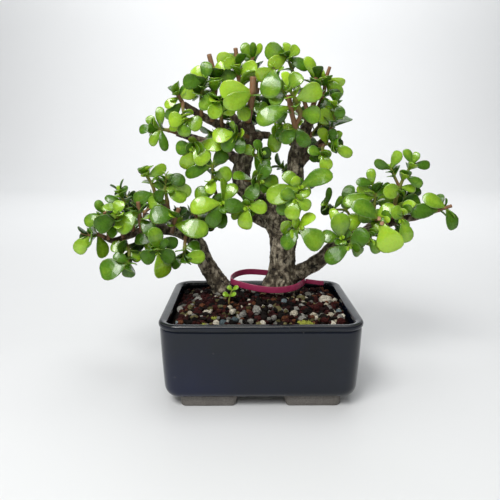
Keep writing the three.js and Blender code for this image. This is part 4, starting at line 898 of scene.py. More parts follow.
# The limbs of both trunks as x, z, depth, radius, from where each leaves its parent
mainLimbs = {
    "trunk": [(16.5, 52, 17, 15.5), (16.5, 79, 19, 15.8), (18, 89, 20, 12.6), (18.7, 100, 20, 10.9),
              (19, 112, 20, 11), (19, 124, 20, 11.8), (16.5, 138, 20, 12.2), (13, 147, 21, 8)],
    "upperLeft": [(15, 132, 20, 10.5), (5, 147, 24, 9.6), (-8, 159, 27, 9), (-15, 170, 27, 8.6),
                  (-14, 182, 25, 7.6), (-9, 196, 22, 5.6), (-8, 208, 20, 4.4), (-12, 218, 18, 3.4)],
    "upperRight": [(20, 130, 20, 10), (26, 148, 21, 8.6), (29, 168, 19, 6.8), (27.5, 186, 18, 6.4),
                   (31.5, 201, 17, 5.6), (38, 215, 16, 4.2), (39, 222, 15, 3.4)],
    "rightFork": [(30, 180, 18, 4), (37, 188, 18, 3.4), (44, 195, 17, 3), (53, 205, 16, 2.4)],
    "lowRight": [(16, 87, 20, 9), (30, 91.5, 19, 7), (42.5, 98.4, 18, 6.8), (51, 104.2, 17, 6.5),
                 (57.5, 111, 16, 6), (66, 118.4, 15, 5.4), (78, 124, 14, 4.6), (90, 128, 13, 4.1),
                 (104, 134, 12, 3.7), (118, 138, 12, 3.1), (130, 140, 12, 2.6), (141, 143.5, 12, 2.2)],
    "lowLeftBack": [(12, 132, 24, 6), (-10, 142, 34, 4.6), (-33, 147, 38, 3.6), (-50, 144, 42, 2.6)],
    "leftmost": [(-14, 182, 26, 4.8), (-28, 192, 30, 4.2), (-45, 199.5, 31, 3.8), (-66, 206, 30, 2.7)],
    "leftUpper": [(-9, 199, 22, 4.2), (-25, 208, 22, 3.9), (-38, 215, 20, 3.6), (-51, 222, 18, 3.2),
                  (-60, 228, 17, 2.6)],
    "leftFork": [(-12, 205, 21, 3.6), (-17, 213, 23, 3.2), (-23, 221, 25, 2.6)],
    "innerTwig": [(-9, 202, 21, 3.4), (-1, 204.5, 19, 3.5), (8, 204.5, 17, 3)],
    "backLeft": [(-13, 184, 27, 4.4), (-12, 194, 42, 3.4), (-14, 204, 56, 2.6)],
    "backRight": [(29, 176, 20, 4.6), (34, 190, 36, 3.4), (38, 201, 54, 2.6)],
    "backLow": [(27, 150, 22, 4.6), (34, 158, 40, 3.2), (38, 165, 56, 2.4)],
    "rightBack": [(84, 126, 14, 3.6), (96, 138, 28, 2.8), (104, 146, 40, 2.2)],
}
leftLimbs = {
    "trunk": [(-29, 52, 20, 9.2), (-31, 78, 21, 9.4), (-38.2, 90, 22, 8), (-44.2, 100, 21, 7.5),
              (-47.6, 108, 20, 6.9), (-50.5, 117, 20, 6.6), (-58.5, 124, 19, 5.8), (-68, 128, 18, 5),
              (-82, 129, 17, 4.2), (-97, 128, 16, 3.5), (-110, 123, 15, 2.9), (-121, 120, 15, 2.5),
              (-128, 123, 14, 2.1)],
    "riser": [(-64, 127, 18, 4), (-72, 139, 20, 3.3), (-80, 151, 19, 2.6)],
    "back": [(-76, 129, 18, 3.8), (-86, 137, 32, 3), (-93, 142, 46, 2.3)],
}

# The skin's grain in metres, and the relief's heights and sizes in millimetres
wood = {
    "voxel": 0.00075, "quickVoxel": 0.0014, "trunkSides": 26, "limbSides": 16, "knob": 0.80, "knobSize": 6.5,
    "flake": 0.52, "flakeSize": 1.9, "fine": 0.26, "fineSize": 0.95, "crack": 0.50, "crackSize": 3.1,
    "ring": 0.46, "ringSpacing": 4.6, "ringBend": 1.5, "ringBendSize": 5.0, "ringBreakSize": 7.0,
}


def makeWood(name, limbs):
    # Limbs as fine tubes grown into one skin, then moved along the surface: knobs, flakes, upright cracks and
    # the rings that shed leaves leave across each limb
    heap = Heap()
    lines, widths, runs = [], [], []
    for limbName, limb in limbs.items():
        points = [place(row) for row in limb]
        radii = [row[3] for row in limb]
        sides = wood["trunkSides"] if limbName == "trunk" else wood["limbSides"]
        rings = 6 * (len(points) - 1) + 1
        grid, shares = tubeGrid(points, radii, rings, sides)
        quads, tris = skinFaces(rings, sides)
        ends = curveAt(points, [0, 1])
        heap.add(toFrame(np.vstack([grid.reshape(-1, 3), ends])), quads, tris, np.ones(4))
        fineShares = np.linspace(0, 1, 20 * (len(points) - 1))
        line = curveAt(points, fineShares)
        lines.append(line)
        widths.append(np.interp(fineShares * (len(points) - 1), np.arange(len(points)), radii))
        steps = np.linalg.norm(np.diff(line, axis=0), axis=1)
        runs.append(np.concatenate([[0], np.cumsum(steps)]) + 7 * len(runs))
    piece = addPiece(name + "_bark", heap.mesh(name + "_bark"), [name], [barkSkin])
    remesh = piece.modifiers.new("one skin", "REMESH")
    remesh.mode = "VOXEL"
    remesh.voxel_size = wood["voxel"]
    smooth = piece.modifiers.new("soft forks", "SMOOTH")
    smooth.iterations = 5
    smooth.factor = 0.5
    mesh = finished(piece)
    count = len(mesh.vertices)
    points = np.empty(count * 3, np.float32)
    mesh.vertices.foreach_get("co", points)
    normals = np.empty(count * 3, np.float32)
    mesh.vertex_normals.foreach_get("vector", normals)
    points, normals = points.reshape(-1, 3).astype(float), normals.reshape(-1, 3).astype(float)
    local = (points - potMiddle) * 1000
    line, width, run = np.vstack(lines), np.concatenate(widths), np.concatenate(runs)
    nearest = np.empty(count, int)
    batch = 4000
    for start in range(0, count, batch):
        far = np.linalg.norm(local[start:start + batch, None] - line[None], axis=2) / width[None]
        nearest[start:start + batch] = far.argmin(1)
    radius, along = width[nearest], run[nearest]
    size = np.clip(radius / 9, 0.3, 1.15)
    upright = local * [1, 1, 0.62]
    knobs = latticeNoise(local, wood["knobSize"], 11) * wood["knob"]
    flakes = latticeNoise(upright, wood["flakeSize"], 12)
    fine = latticeNoise(local, wood["fineSize"], 13) * wood["fine"]
    seam = 1 - np.abs(latticeNoise(upright, wood["crackSize"], 14))
    crack = np.clip((seam - 0.80) / 0.2, 0, 1) ** 1.3
    bend = latticeNoise(local, wood["ringBendSize"], 15) * wood["ringBend"]
    wave = np.abs(np.sin(np.pi * (along + bend) / (wood["ringSpacing"] * np.clip(radius / 8, 0.55, 1.1))))
    whole = latticeNoise(local, wood["ringBreakSize"], 16) > -0.3
    ring = np.clip((0.30 - wave) / 0.30, 0, 1) ** 1.2 * (0.35 + 0.65 * whole)
    move = (knobs + flakes * wood["flake"] * 0.6 + fine - crack * wood["crack"] - ring * wood["ring"]) * size
    points += normals * (move * 0.001)[:, None]
    mesh.vertices.foreach_set("co", insideBox(points).astype(np.float32).ravel())
    tones = np.ones((count, 4), np.float32)
    # The first tone marks the cracks and rings, which the bark paints dark as shade
    tones[:, 0] = np.clip(np.maximum(crack, ring * 0.8), 0, 1)
    tones[:, 1] = np.clip(radius / 16, 0, 1)
    tones[:, 2] = np.clip(flakes * 0.5 + 0.5, 0, 1)
    if "tone" in mesh.attributes:
        mesh.attributes.remove(mesh.attributes["tone"])
    mesh.attributes.new("tone", "FLOAT_COLOR", "POINT").data.foreach_set("color", tones.ravel())
    mesh.polygons.foreach_set("use_smooth", np.ones(len(mesh.polygons), bool))
    mesh.update()
    print(name, "faces", len(mesh.polygons))
    return piece


makeWood("trunk_main", mainLimbs)
makeWood("trunk_left", leftLimbs)

# The leaf of the solids, as shares of its length and width: where it is widest and highest, and how it bends
leafShape = {"farAt": 0.68, "topAt": 0.6, "tipWidth": 0.54, "bow": 0.07, "rimLift": 0.07, "tipDrop": 0.03}


def shoot(path, ends, end, fill, leaves=()):
    # A shoot's nodes as x, z, depth, its radius at both ends, how it ends, how many filled pairs it carries,
    # and its laid leaves as node, tip x, tip z, extra depth, width, roll
    return {"path": path, "radii": ends, "end": end, "fill": fill, "leaves": leaves}


# The leafy stems, each with its shoots
sprays = {
    # Left pad
    "far_left": [
        shoot([(-127, 123, 14), (-133, 125, 12), (-139, 125, 10), (-146, 127, 10)], (1.9, 1.5), "cut", 2,
              [(2, -151, 109, -3, 12, 10), (1, -130, 105, -4, 12, 0)]),
    ],
    "left_upper_outer": [
        shoot([(-124, 121, 14), (-124, 133, 10), (-126, 144, 6)], (1.8, 1.4), "cut", 3,
              [(2, -143, 134, -3, 12, 10), (2, -132, 153, -1, 8, 0)]),
    ],
    "left_low_outer": [
        shoot([(-112, 122, 14), (-108, 112, 4), (-108, 101, -2)], (1.7, 1.2), "bud", 2,
              [(2, -133, 92, -3, 19, 5), (2, -121, 108, -1, 9, 0), (1, -99, 103, -1, 10, 0),
               (1, -108, 88, 2, 11, 65), (1, -123, 115, -2, 11, 0), (1, -97, 109, 10, 12, 0)]),
    ],
    "left_twig": [
        shoot([(-103, 126, 15), (-104, 138, 12), (-107.5, 148, 10), (-111, 155, 9), (-112, 159, 9)],
               (1.6, 0.9), "bud", 2,
              [(3, -114.5, 165, -1, 6, 20), (3, -107, 165, 1, 5, 0), (2, -125, 156, -2, 8, 15),
               (2, -129, 146, -3, 8, 30)]),
    ],
    "left_middle": [
        shoot([(-112, 123, 12), (-114, 132, 2), (-116, 141, -2)], (1.6, 1.2), "bud", 1,
              [(2, -134, 129, -3, 15, 5), (1, -124, 124, -1, 10, 0), (2, -112, 153, 3, 10, 0)]),
    ],
    "left_stub": [
        shoot([(-97, 128, 12), (-97.5, 138, 5), (-98, 145, 3), (-98.5, 152, 3)], (1.9, 1.8), "cut", 1,
              [(2, -116, 127, -6, 17, 5), (1, -86, 124, -5, 12, 10)]),
    ],
    "left_top": [
        shoot([(-79, 150, 18), (-84, 158, 14), (-86.5, 166, 12), (-90, 172, 11), (-91, 176, 11)], (1.8, 1),
               "bud", 1,
              [(1, -102.5, 153, -4, 12, 10), (2, -70, 166, -3, 12, 0), (3, -95, 174, 0, 7, 20),
               (3, -75, 181, -1, 9, 0)]),
    ],
    "left_front_stub": [
        shoot([(-72, 127, 14), (-70.5, 134, 6), (-68, 141, 2), (-65.5, 147, 2)], (1.9, 1.8), "cut", 1,
              [(2, -90, 140, -5, 17, 0), (1, -93, 134, 3, 9, 60), (1, -42, 128, -4, 17, 5)]),
    ],
    "left_hanging": [
        shoot([(-83, 128, 14), (-84, 120, 2), (-84, 112, -4)], (1.8, 1.3), "bud", 1,
              [(2, -88, 131, -5, 13, 0), (2, -75.5, 121, -1, 7, 0), (2, -98, 103, -2, 13, 10),
               (2, -70, 104, -3, 13, 5), (2, -81, 88, 0, 17, 0), (1, -103, 121, 2, 11, 0),
               (1, -95, 113, 3, 9, 0), (1, -67, 118, 3, 11, 0)]),
    ],
    "left_inner_low": [
        shoot([(-61, 124, 14), (-62, 114, 6), (-63, 105, 3)], (1.6, 1.2), "bud", 1,
              [(2, -45, 107, -2, 12, 10), (2, -73, 97, -2, 9, 10), (1, -49, 116, 3, 11, 0)]),
    ],
    "left_inner_high": [
        shoot([(-73, 140, 16), (-75, 152, 8), (-76, 163, 4), (-75.5, 172, 3)], (1.7, 1.1), "bud", 1,
              [(3, -60, 167, -3, 11, 0), (2, -60, 153, -2, 13, 0), (2, -55, 160, 2, 12, 0),
               (1, -91, 150, 1, 12, 0), (2, -84, 152, 2, 10, 0)]),
    ],
    "left_back": [
        shoot([(-92, 141, 44), (-94, 143.5, 50), (-101, 150, 52), (-108, 156, 53)], (1.9, 1.2), "bud", 3),
        shoot([(-94, 143.5, 50), (-86, 149, 55), (-80, 155, 60)], (1.5, 1.1), "cut", 2),
        shoot([(-94, 143.5, 50), (-95, 134, 56), (-98, 126, 61)], (1.5, 1.1), "bud", 2),
    ],
    # Middle
    "middle_left": [
        shoot([(-33, 147, 36), (-32, 149, 20), (-31, 150.5, 8)], (1.8, 1.3), "bud", 1,
              [(2, -57, 146, -5, 15, 5), (2, -30.5, 171, -1, 12, 60), (2, -19, 166, 1, 12, 0),
               (2, -42, 131, -3, 13, 0), (1, -31, 130, -8, 12, 10)]),
        shoot([(-32, 149, 20), (-36, 160, 15), (-38, 171, 13), (-38, 181, 12)], (1.5, 1.1), "bud", 0,
              [(1, -53, 157, -2, 13, 0), (3, -60, 173, -2, 10, 0), (2, -23, 177, -1, 13, 0),
               (3, -49, 190, 2, 12, 0), (3, -27, 192, 0, 12, 0), (2, -39, 158, -8, 11, 0)]),
    ],
    "middle_back_left": [
        shoot([(-49, 144, 41), (-58, 142, 43), (-66, 140, 44)], (1.7, 1.1), "bud", 3),
        shoot([(-54, 143, 42.5), (-50, 138, 52), (-46, 134, 60)], (1.5, 1.1), "bud", 3),
    ],
    "middle_front": [
        shoot([(-2, 153, 22), (-7, 151, 12), (-10, 148, 4)], (1.8, 1.3), "bud", 0,
              [(2, -29, 150, -3, 13, 5), (2, -11, 129, -2, 14, 0), (2, 6, 147, -4, 12, 5),
               (1, -8, 164, -4, 10, 5), (1, -23, 138, -2, 9, 0)]),
    ],
    "middle_pair": [
        shoot([(-14, 170, 22), (-6, 169, 12), (-1, 168, 6)], (1.8, 1.3), "bud", 0,
              [(1, -21, 156, -4, 13, 0), (2, -10, 154, -6, 12, 0), (2, 8, 181, -2, 9, 10),
               (2, 15, 168, 4, 12, 0), (2, 16, 178, 5, 10, 0)]),
    ],
    "middle_small": [
        shoot([(-11, 190, 20), (-5, 189, 12), (0, 190, 8)], (1.5, 1), "bud", 1,
              [(2, 3, 178, -2, 9, 0), (2, -4, 201, -2, 8, 0), (1, 0, 176, -2, 10, 0),
               (1, -13, 196, -1, 9, 0)]),
    ],
    "middle_right_high": [
        shoot([(27, 158, 18), (30, 161, 6), (32, 163, -3)], (1.8, 1.3), "bud", 0,
              [(2, 5, 155, -5, 17, 5), (2, 18, 175, 0, 11, 10), (2, 58, 175, -4, 14, 10)]),
        shoot([(30, 161, 6), (30, 157, -3), (29, 154, -10)], (1.5, 1.2), "bud", 0,
              [(2, 26, 137, -3, 13, 5), (2, 41, 147, -2, 10, 10), (1, 14, 143, -6, 12, 0),
               (2, 17, 161, -3, 10, 0)]),
    ],
    "trunk_front": [
        shoot([(21, 127, 14), (27, 129, 0), (32, 130, -9)], (1.7, 1.3), "bud", 0,
              [(2, 40, 145, -3, 11, 0), (1, 20, 142, -10, 12, 0), (2, 20, 113, -3, 14, 5),
               (2, 51, 114, -4, 18, 5)]),
    ],
    # Right pad
    "right_node_low": [
        shoot([(76, 123, 12), (75.5, 119, 3), (74.5, 115, -6)], (1.6, 1.3), "bud", 0,
              [(2, 55, 102, -3, 14, 5), (2, 88, 129, -4, 15, 5), (1, 84, 108, 4, 11, 0)]),
    ],
    "right_large": [
        shoot([(66, 119, 13), (67, 121, 4), (67.5, 122, -2)], (1.5, 1.3), "bud", 0,
              [(2, 64, 143, -3, 17, 0), (2, 58, 147, 4, 9, 0), (1, 81, 142, 5, 13, 0),
               (1, 50, 125, 4, 12, 0)]),
    ],
    "right_front": [
        shoot([(91, 129, 11), (91.5, 125, 3), (91, 122, -3)], (1.5, 1.2), "bud", 0,
              [(2, 100, 110, -2, 11, 10), (2, 79, 115, 2, 9, 0), (1, 102, 127, 2, 9, 0)]),
    ],
    "right_shield": [
        shoot([(104, 134, 10), (102, 135, 0), (100, 134.5, -7)], (1.7, 1.4), "cut", 0,
              [(2, 113, 111, -3, 22, 0), (1, 92, 144, 0, 12, 0)]),
    ],
    "right_end": [
        shoot([(140, 143.4, 12), (146, 145.6, 10), (151.5, 147.5, 9), (156, 149, 9)], (1.8, 1.5), "cut", 0,
              [(2, 132, 157, 0, 12, 15), (1, 123, 143, -6, 13, 10), (2, 160, 129, -2, 12, 0),
               (1, 146, 159, 4, 8, 0)]),
    ],
    "right_tall": [
        shoot([(108, 136, 12), (109, 144, 11), (110, 153, 10), (112.5, 164, 9), (116, 173, 8),
               (121, 182, 8)], (2, 1.1), "bud", 1,
              [(5, 114, 194, 1, 8, 20), (5, 125, 192, -1, 7, 10), (5, 136, 182, 0, 8, 10),
               (4, 131, 165, -2, 8, 15), (3, 93, 162, -3, 13, 0), (3, 126, 162, 1, 7, 0)]),
        shoot([(112.5, 164, 9), (108, 172, 8), (104.5, 179, 8)], (1.3, 1), "bud", 0,
              [(2, 91, 185, -1, 8, 0), (2, 110, 193, 1, 9, 0)]),
    ],
    "right_inner_tall": [
        shoot([(93, 130, 12), (93, 144, 9), (93, 156, 7), (91, 166, 6)], (1.7, 1), "bud", 1,
              [(3, 88, 179, 0, 8, 10), (3, 77, 168, -2, 8, 0), (2, 67, 151, -4, 13, 5),
               (2, 105, 167, 2, 8, 0), (2, 78, 164, 2, 9, 0)]),
        shoot([(93, 137, 10.5), (95, 138, 2), (97.5, 138.5, -6)], (1.6, 1.5), "cut", 0,
              [(2, 74, 150, -4, 15, 5), (1, 110, 149, -2, 12, 0), (1, 80, 142, 2, 12, 0)]),
    ],
    "right_thin_twig": [
        shoot([(76, 123, 17), (75, 136, 22), (70, 145, 20), (60, 146, 17), (54, 149, 16)], (1.4, 0.8),
               "bud", 1,
              [(3, 66, 157, 0, 6, 30), (4, 56, 164, 1, 6, 20), (2, 82, 160, 2, 9, 0),
               (2, 73, 166, 3, 11, 0)]),
    ],
    "right_dark": [
        shoot([(112, 138, 14), (113, 142, 18), (112, 147, 20)], (1.6, 1.2), "bud", 2,
              [(2, 96, 157, 2, 14, 0), (2, 130, 154, -2, 15, 0)]),
        shoot([(113, 142, 18), (116, 143, 6), (116, 138, -4)], (1.5, 1.2), "bud", 0,
              [(2, 121, 118, -2, 12, 0), (2, 104, 143, -1, 12, 0), (1, 128, 148, 2, 10, 0)]),
    ],
    "right_back": [
        shoot([(103, 145, 39), (106, 148, 44), (113, 153, 46), (120, 158, 47)], (1.8, 1.1), "bud", 3),
        shoot([(106, 148, 44), (98, 153, 49), (91, 158, 53)], (1.5, 1.1), "cut", 2),
        shoot([(106, 148, 44), (109, 139, 51), (113, 131, 56)], (1.5, 1.1), "bud", 2),
    ],
    # Crown
    "crown_leftmost": [
        shoot([(-65, 206, 30), (-72, 208, 27), (-78, 209, 25), (-83, 210, 24)], (1.8, 1.1), "bud", 1,
              [(3, -87, 219, 0, 8, 0), (3, -95, 207, 0, 8, 10), (2, -86, 196, -3, 8, 10),
               (2, -75, 192, -3, 8, 0), (2, -78, 226, 0, 8, 10), (1, -62, 214, -4, 10, 0)]),
    ],
    "crown_left_stub": [
        shoot([(-60, 228, 17), (-63, 233, 14), (-66.5, 240, 13)], (1.8, 1.6), "cut", 1,
              [(1, -74, 225, -3, 8, 0), (1, -50, 238, -3, 10, 0), (1, -56, 242, -1, 6, 0)]),
        shoot([(-60.5, 229, 15.5), (-60, 222, 8), (-58, 216, 4)], (1.5, 1.1), "bud", 0,
              [(0, -74, 217, -4, 9, 0), (2, -72, 215, -2, 13, 0), (2, -46, 211, -2, 13, 0),
               (2, -60, 203, -1, 12, 0)]),
    ],
    "crown_left_low": [
        shoot([(-45, 199, 28), (-50, 197, 18), (-53, 195, 11)], (1.7, 1.2), "bud", 1,
              [(2, -67, 194, -2, 12, 0), (2, -43, 182, -3, 16, 5), (1, -31, 186, -4, 13, 0),
               (2, -61, 178, 0, 13, 0)]),
    ],
    "crown_left_tall": [
        shoot([(-38, 215, 18), (-37, 226, 14), (-35.5, 238, 12), (-36.5, 252, 11), (-39.5, 264, 11)],
               (2.1, 1.9), "cut", 3,
              [(2, -50, 223, -4, 11, 30), (3, -27, 256, -3, 9, 0), (2, -57, 226, 0, 10, 50)]),
    ],
    "crown_left_bright": [
        shoot([(-46, 219, 16), (-46, 232, 9), (-43.5, 245, 5)], (1.6, 1.1), "bud", 1,
              [(2, -60, 243, -3, 12, 0), (2, -41, 259, 0, 10, 5), (2, -52, 254, 1, 11, 0),
               (1, -52, 241, -2, 8, 30)]),
    ],
    "crown_left_inner": [
        shoot([(-30, 211, 19), (-31, 221, 10), (-31.5, 229.5, 5)], (1.6, 1.2), "bud", 1,
              [(2, -44, 219, -3, 12, 0), (1, -20, 226, -4, 12, 0)]),
    ],
    "crown_middle_low": [
        shoot([(-9, 203, 18), (-15, 205, 11), (-20, 205.5, 7)], (1.6, 1.2), "bud", 1,
              [(2, -38, 203, -2, 13, 0), (2, -29, 192, -3, 11, 0), (1, -16, 190, -5, 10, 0)]),
    ],
    "crown_hero": [
        shoot([(-10, 215, 15), (-8, 226, 5), (-6.5, 237, -1), (-6, 248, -1)], (2.6, 2.5), "cut", 0,
              [(2, -32, 239, -5, 16, 0), (2, -29, 227, -7, 14, 5), (1, -17, 217, -6, 12, 0),
               (1, 6, 222, 0, 12, 0)]),
    ],
    "crown_top_left": [
        shoot([(-12.5, 220, 19), (-15, 236, 17), (-17.5, 250, 15), (-18.5, 261, 14), (-19.5, 268.5, 14)],
               (1.9, 1.7), "cut", 3,
              [(3, -34, 261, -3, 11, 0), (2, -3, 257, -4, 11, 0), (3, -30, 254, -1, 9, 0),
               (2, -33, 247, -4, 12, 10)]),
    ],
    "crown_top": [
        shoot([(-10, 222, 22), (-4, 240, 24), (-5, 252, 23), (-6.5, 260, 22), (-4.5, 268.5, 22)],
               (1.9, 1.7), "cut", 3,
              [(3, 0, 272, 0, 6, 40), (3, -14, 272, -2, 9, 0), (3, -8, 273, -3, 7, 0)]),
    ],
    "crown_shiny": [
        shoot([(37, 216, 12), (26, 226, 14), (14, 240, 10), (9.5, 254, 2)], (1.9, 1.3), "bud", 1,
              [(3, 6, 232, -6, 17, 0), (3, -4, 247, 2, 11, 0), (2, 3, 224, -6, 12, 0)]),
    ],
    "crown_front_low": [
        shoot([(33, 203, 14), (27.5, 211, 4), (23, 226, -4), (21.5, 235, -5)], (2.2, 2), "cut", 0,
              [(2, -3, 214, -4, 15, 0), (1, 16, 199, -3, 12, 0), (1, 38, 196, -3, 11, 0)]),
        shoot([(27, 211, 5), (20, 212, 12), (15, 212, 14)], (1.5, 1.1), "bud", 0,
              [(2, 10, 191, -1, 12, 0), (2, 16, 226, -2, 12, 0), (2, 20, 197, -1, 12, 0)]),
        shoot([(27, 211, 4), (31, 221, -3), (27, 231, -8), (22, 239, -10)], (1.8, 1.2), "bud", 0,
              [(2, 47, 240, -3, 15, 0), (3, 31, 250, -2, 12, 5), (3, 17, 252, -1, 8, 0),
               (1, 47, 219, -4, 14, 0)]),
    ],
    "crown_top_right": [
        shoot([(38, 219, 17), (32, 234, 20), (25, 250, 18), (20, 262, 14)], (1.9, 1.1), "bud", 2,
              [(3, 3, 269, -2, 14, 0), (3, 19, 273, 3, 9, 10), (3, 36, 253.5, -3, 10, 0),
               (3, 5, 256, -5, 11, 0), (3, 28, 270, 0, 9, 0), (2, 15, 237, -4, 12, 0)]),
    ],
    "crown_right_stub": [
        shoot([(39, 221, 15), (42, 233, 13), (41.5, 246, 12), (38.5, 259, 12)], (2.2, 2), "cut", 3,
              [(2, 31, 262, -2, 9, 0)]),
    ],
    "crown_right_outer": [
        shoot([(42, 220, 18), (48, 234, 19), (50, 247, 18), (52.5, 255.5, 18)], (1.7, 1.4), "cut", 1,
              [(2, 62, 233, -3, 12, 0), (2, 65, 244, 0, 8, 10), (2, 44, 254, -1, 6, 0),
               (1, 52, 220, -4, 12, 0)]),
    ],
    "crown_right_low": [
        shoot([(53, 204, 15), (57, 215, 11), (58, 229, 8)], (1.6, 1.1), "bud", 2,
              [(2, 63, 217, -2, 9, 0), (1, 45, 222, -7, 13, 0)]),
    ],
    "crown_right_tip": [
        shoot([(45, 196, 16), (52, 198, 11), (57, 198, 8)], (1.5, 1.1), "bud", 1,
              [(2, 73, 189, -2, 9, 10), (2, 63, 208, 2, 7, 0), (1, 46, 210, -3, 9, 0),
               (2, 57, 210, -2, 8, 0)]),
        shoot([(50, 197.5, 12.5), (49, 194, 7), (48.5, 190, 3)], (1.5, 1.1), "bud", 0,
              [(2, 54, 177, -2, 11, 0), (2, 37, 193, -4, 9, 0), (1, 55, 187, 2, 8, 0)]),
    ],
    "crown_back_left": [
        shoot([(-14, 203, 55), (-15, 207, 61), (-22, 216, 63), (-28, 225, 64)], (1.9, 1.2), "bud", 3),
        shoot([(-15, 207, 61), (-26, 207, 61), (-37, 206, 58)], (1.7, 1.1), "bud", 2),
        shoot([(-15, 207, 61), (-12, 203, 69), (-12, 199, 75)], (1.5, 1.1), "bud", 2),
    ],
    "crown_back_top": [
        shoot([(-13, 196, 44), (-8, 212, 46), (-4, 228, 44), (-2, 240, 42)], (2, 1.3), "cut", 3),
        shoot([(-9, 210, 46), (2, 220, 52), (10, 228, 56)], (1.6, 1.1), "bud", 3),
    ],
    "crown_back_right": [
        shoot([(37, 200, 53), (39.5, 204, 59), (45, 211, 62), (51, 218, 63)], (1.9, 1.2), "bud", 3),
        shoot([(39.5, 204, 59), (36, 215, 56), (29, 227, 52)], (1.8, 1.2), "cut", 2),
        shoot([(39.5, 204, 59), (35, 201, 68), (30, 197, 76)], (1.5, 1.1), "bud", 2),
    ],
    "middle_back_right": [
        shoot([(38, 165, 56), (37, 167, 61), (30, 162, 66), (22, 158, 68)], (1.8, 1.1), "bud", 3),
        shoot([(37, 167, 61), (27, 173, 62), (17, 180, 62)], (1.6, 1.1), "bud", 2),
    ],
}

# Filled pairs: from where to where along a shoot, length and spread at its foot and tip, and random parts
fillRule = {
    "from": 0.3, "toBelowCut": 0.6, "toAtBud": 0.97, "alone": 0.6, "length": (18, 12.5), "spread": (62, 34),
    "shortest": 0.85, "longer": 0.3, "widthShare": 0.8, "jitter": 14, "seed": 90210,
}

# The turn, tilt and size tried in turn on each leaf of the solids
tries = [(0, 0, 1), (24, 6, 1), (-24, -6, 1), (46, -12, 0.95), (-46, 12, 0.95), (12, -22, 0.88),
         (-12, 20, 0.86), (68, 4, 0.84), (-68, -4, 0.84), (0, 0, 0.72)]

# How far back along the last stretch of a cut stub its end leaves are rooted
stubSetback = 0.2


def handLeaf(twig, row):
    # A leaf laid where the photograph shows it, from its node to its tip, facing the eye before its roll
    node, tipX, tipZ, extraDepth, width, roll = row
    at = twig["path"][node]
    base, tip = place(at), place((tipX, tipZ, at[2] + extraDepth))
    if twig["end"] == "cut" and node == len(twig["path"]) - 1:
        base = base + (place(twig["path"][node - 1]) - base) * stubSetback
    along = unit(tip - base)
    normal = unit(eye - base)
    normal = unit(normal - along * np.dot(normal, along))
    return base, tip, turned(normal, along, roll), width


def fillLeaves(twig, draw):
    # Opposite pairs along the shoot, each a quarter turn from the last, shorter and steeper towards its tip
    f = fillRule
    path = [place(row) for row in twig["path"]]
    to = f["toBelowCut"] if twig["end"] == "cut" else f["toAtBud"]
    alone = twig["fill"] == 1
    leaves = []
    for pair in range(twig["fill"]):
        share = 1 if alone else pair / (twig["fill"] - 1)
        t = between((f["from"], to), f["alone"] if alone else share)
        base, axis = curveAt(path, t)[0], tangentAt(path, t)[0]
        level = unit(np.cross(axis, [0, 0, 1]))
        quarter = (pair % 2) * 90 + (draw() - 0.5) * 2 * f["jitter"]
        for half in (0, 180):
            angle = math.radians(between(f["spread"], share) + (draw() - 0.5) * f["jitter"])
            length = between(f["length"], share) * (f["shortest"] + f["longer"] * draw())
            out = turned(level, axis, quarter + half)
            along = out * math.sin(angle) + axis * math.cos(angle)
            normal = axis * math.sin(angle) - out * math.cos(angle)
            leaves.append((base, base + along * length, normal, length * f["widthShare"], axis))
    return leaves


def leafFrame(base, tip, normal):
    # The leaf's own arrows along, up and across, and its length
    along = tip - base
    length = np.linalg.norm(along)
    along = along / length
    up = unit(normal - along * np.dot(normal, along))
    return along, up, np.cross(along, up), length


def changedLeaf(leaf, axis, change):
    # The leaf made smaller, tilted about its own side and turned about its shoot
    base, tip, normal, width = leaf
    turn, tilt, size = change
    along = (tip - base) * size
    side = unit(np.cross(along, normal))
    along = turned(turned(along, side, tilt), axis, turn)
    return base, base + along, turned(turned(normal, side, tilt), axis, turn), width * size


# How near in metres a corner of the solids must be, and how many of the six must be there
cornerReach, cornersNeeded = 8e-5, 4


def foundLeaf(tree, leaf, axis):
    # The change under which the leaf stands in the solid: four of its six outer corners are there
    s = leafShape
    for change in tries:
        changed = changedLeaf(leaf, axis, change)
        base, tip, normal, width = changed
        along, up, side, length = leafFrame(base, tip, normal)
        bow = s["bow"] * length
        rim = bow + s["rimLift"] * width
        drop = -s["tipDrop"] * length
        corners = [(s["farAt"], -1, rim), (s["farAt"], 1, rim), (s["topAt"], 0, bow + 1),
                   (s["topAt"], 0, bow - 1), (1, -s["tipWidth"], drop), (1, s["tipWidth"], drop)]
        hits = 0
        for t, across, lift in corners:
            spot = toFrame(base + along * t * length + side * across * width / 2 + up * lift)
            hits += tree.find(spot)[2] < cornerReach
        if hits >= cornersNeeded:
            return changed
    return None


# The dressed leaf: where its rings lie from neck to tip, its outline, its thickness, how it bends and how
# it is hollowed, and its eight-sided section
leafForm = {
    "rings": np.array([0.0, 0.1, 0.25, 0.42, 0.60, 0.77, 0.89, 0.965]), "widest": 0.64, "neck": 0.13,
    "neckPower": 1.4, "tipPower": 2.5, "plump": 0.08, "plumpLeast": 0.5, "plumpNeck": 0.5, "plumpRise": 1.6,
    "plumpEnd": 0.72, "plumpFall": 0.29, "plumpPower": 2.4, "bow": 0.075, "bowPower": 0.8, "tipDrop": 0.03,
    "swing": 0.10, "cup": (0.10, 0.36), "rimAtTip": 0.93, "rootDepth": 0.1,
    "section": np.array([(1, 0), (0.84, 0.50), (0, 0.72), (-0.84, 0.50), (-1, 0), (-0.74, -0.62), (0, -0.9),
                         (0.74, -0.62)]),
}


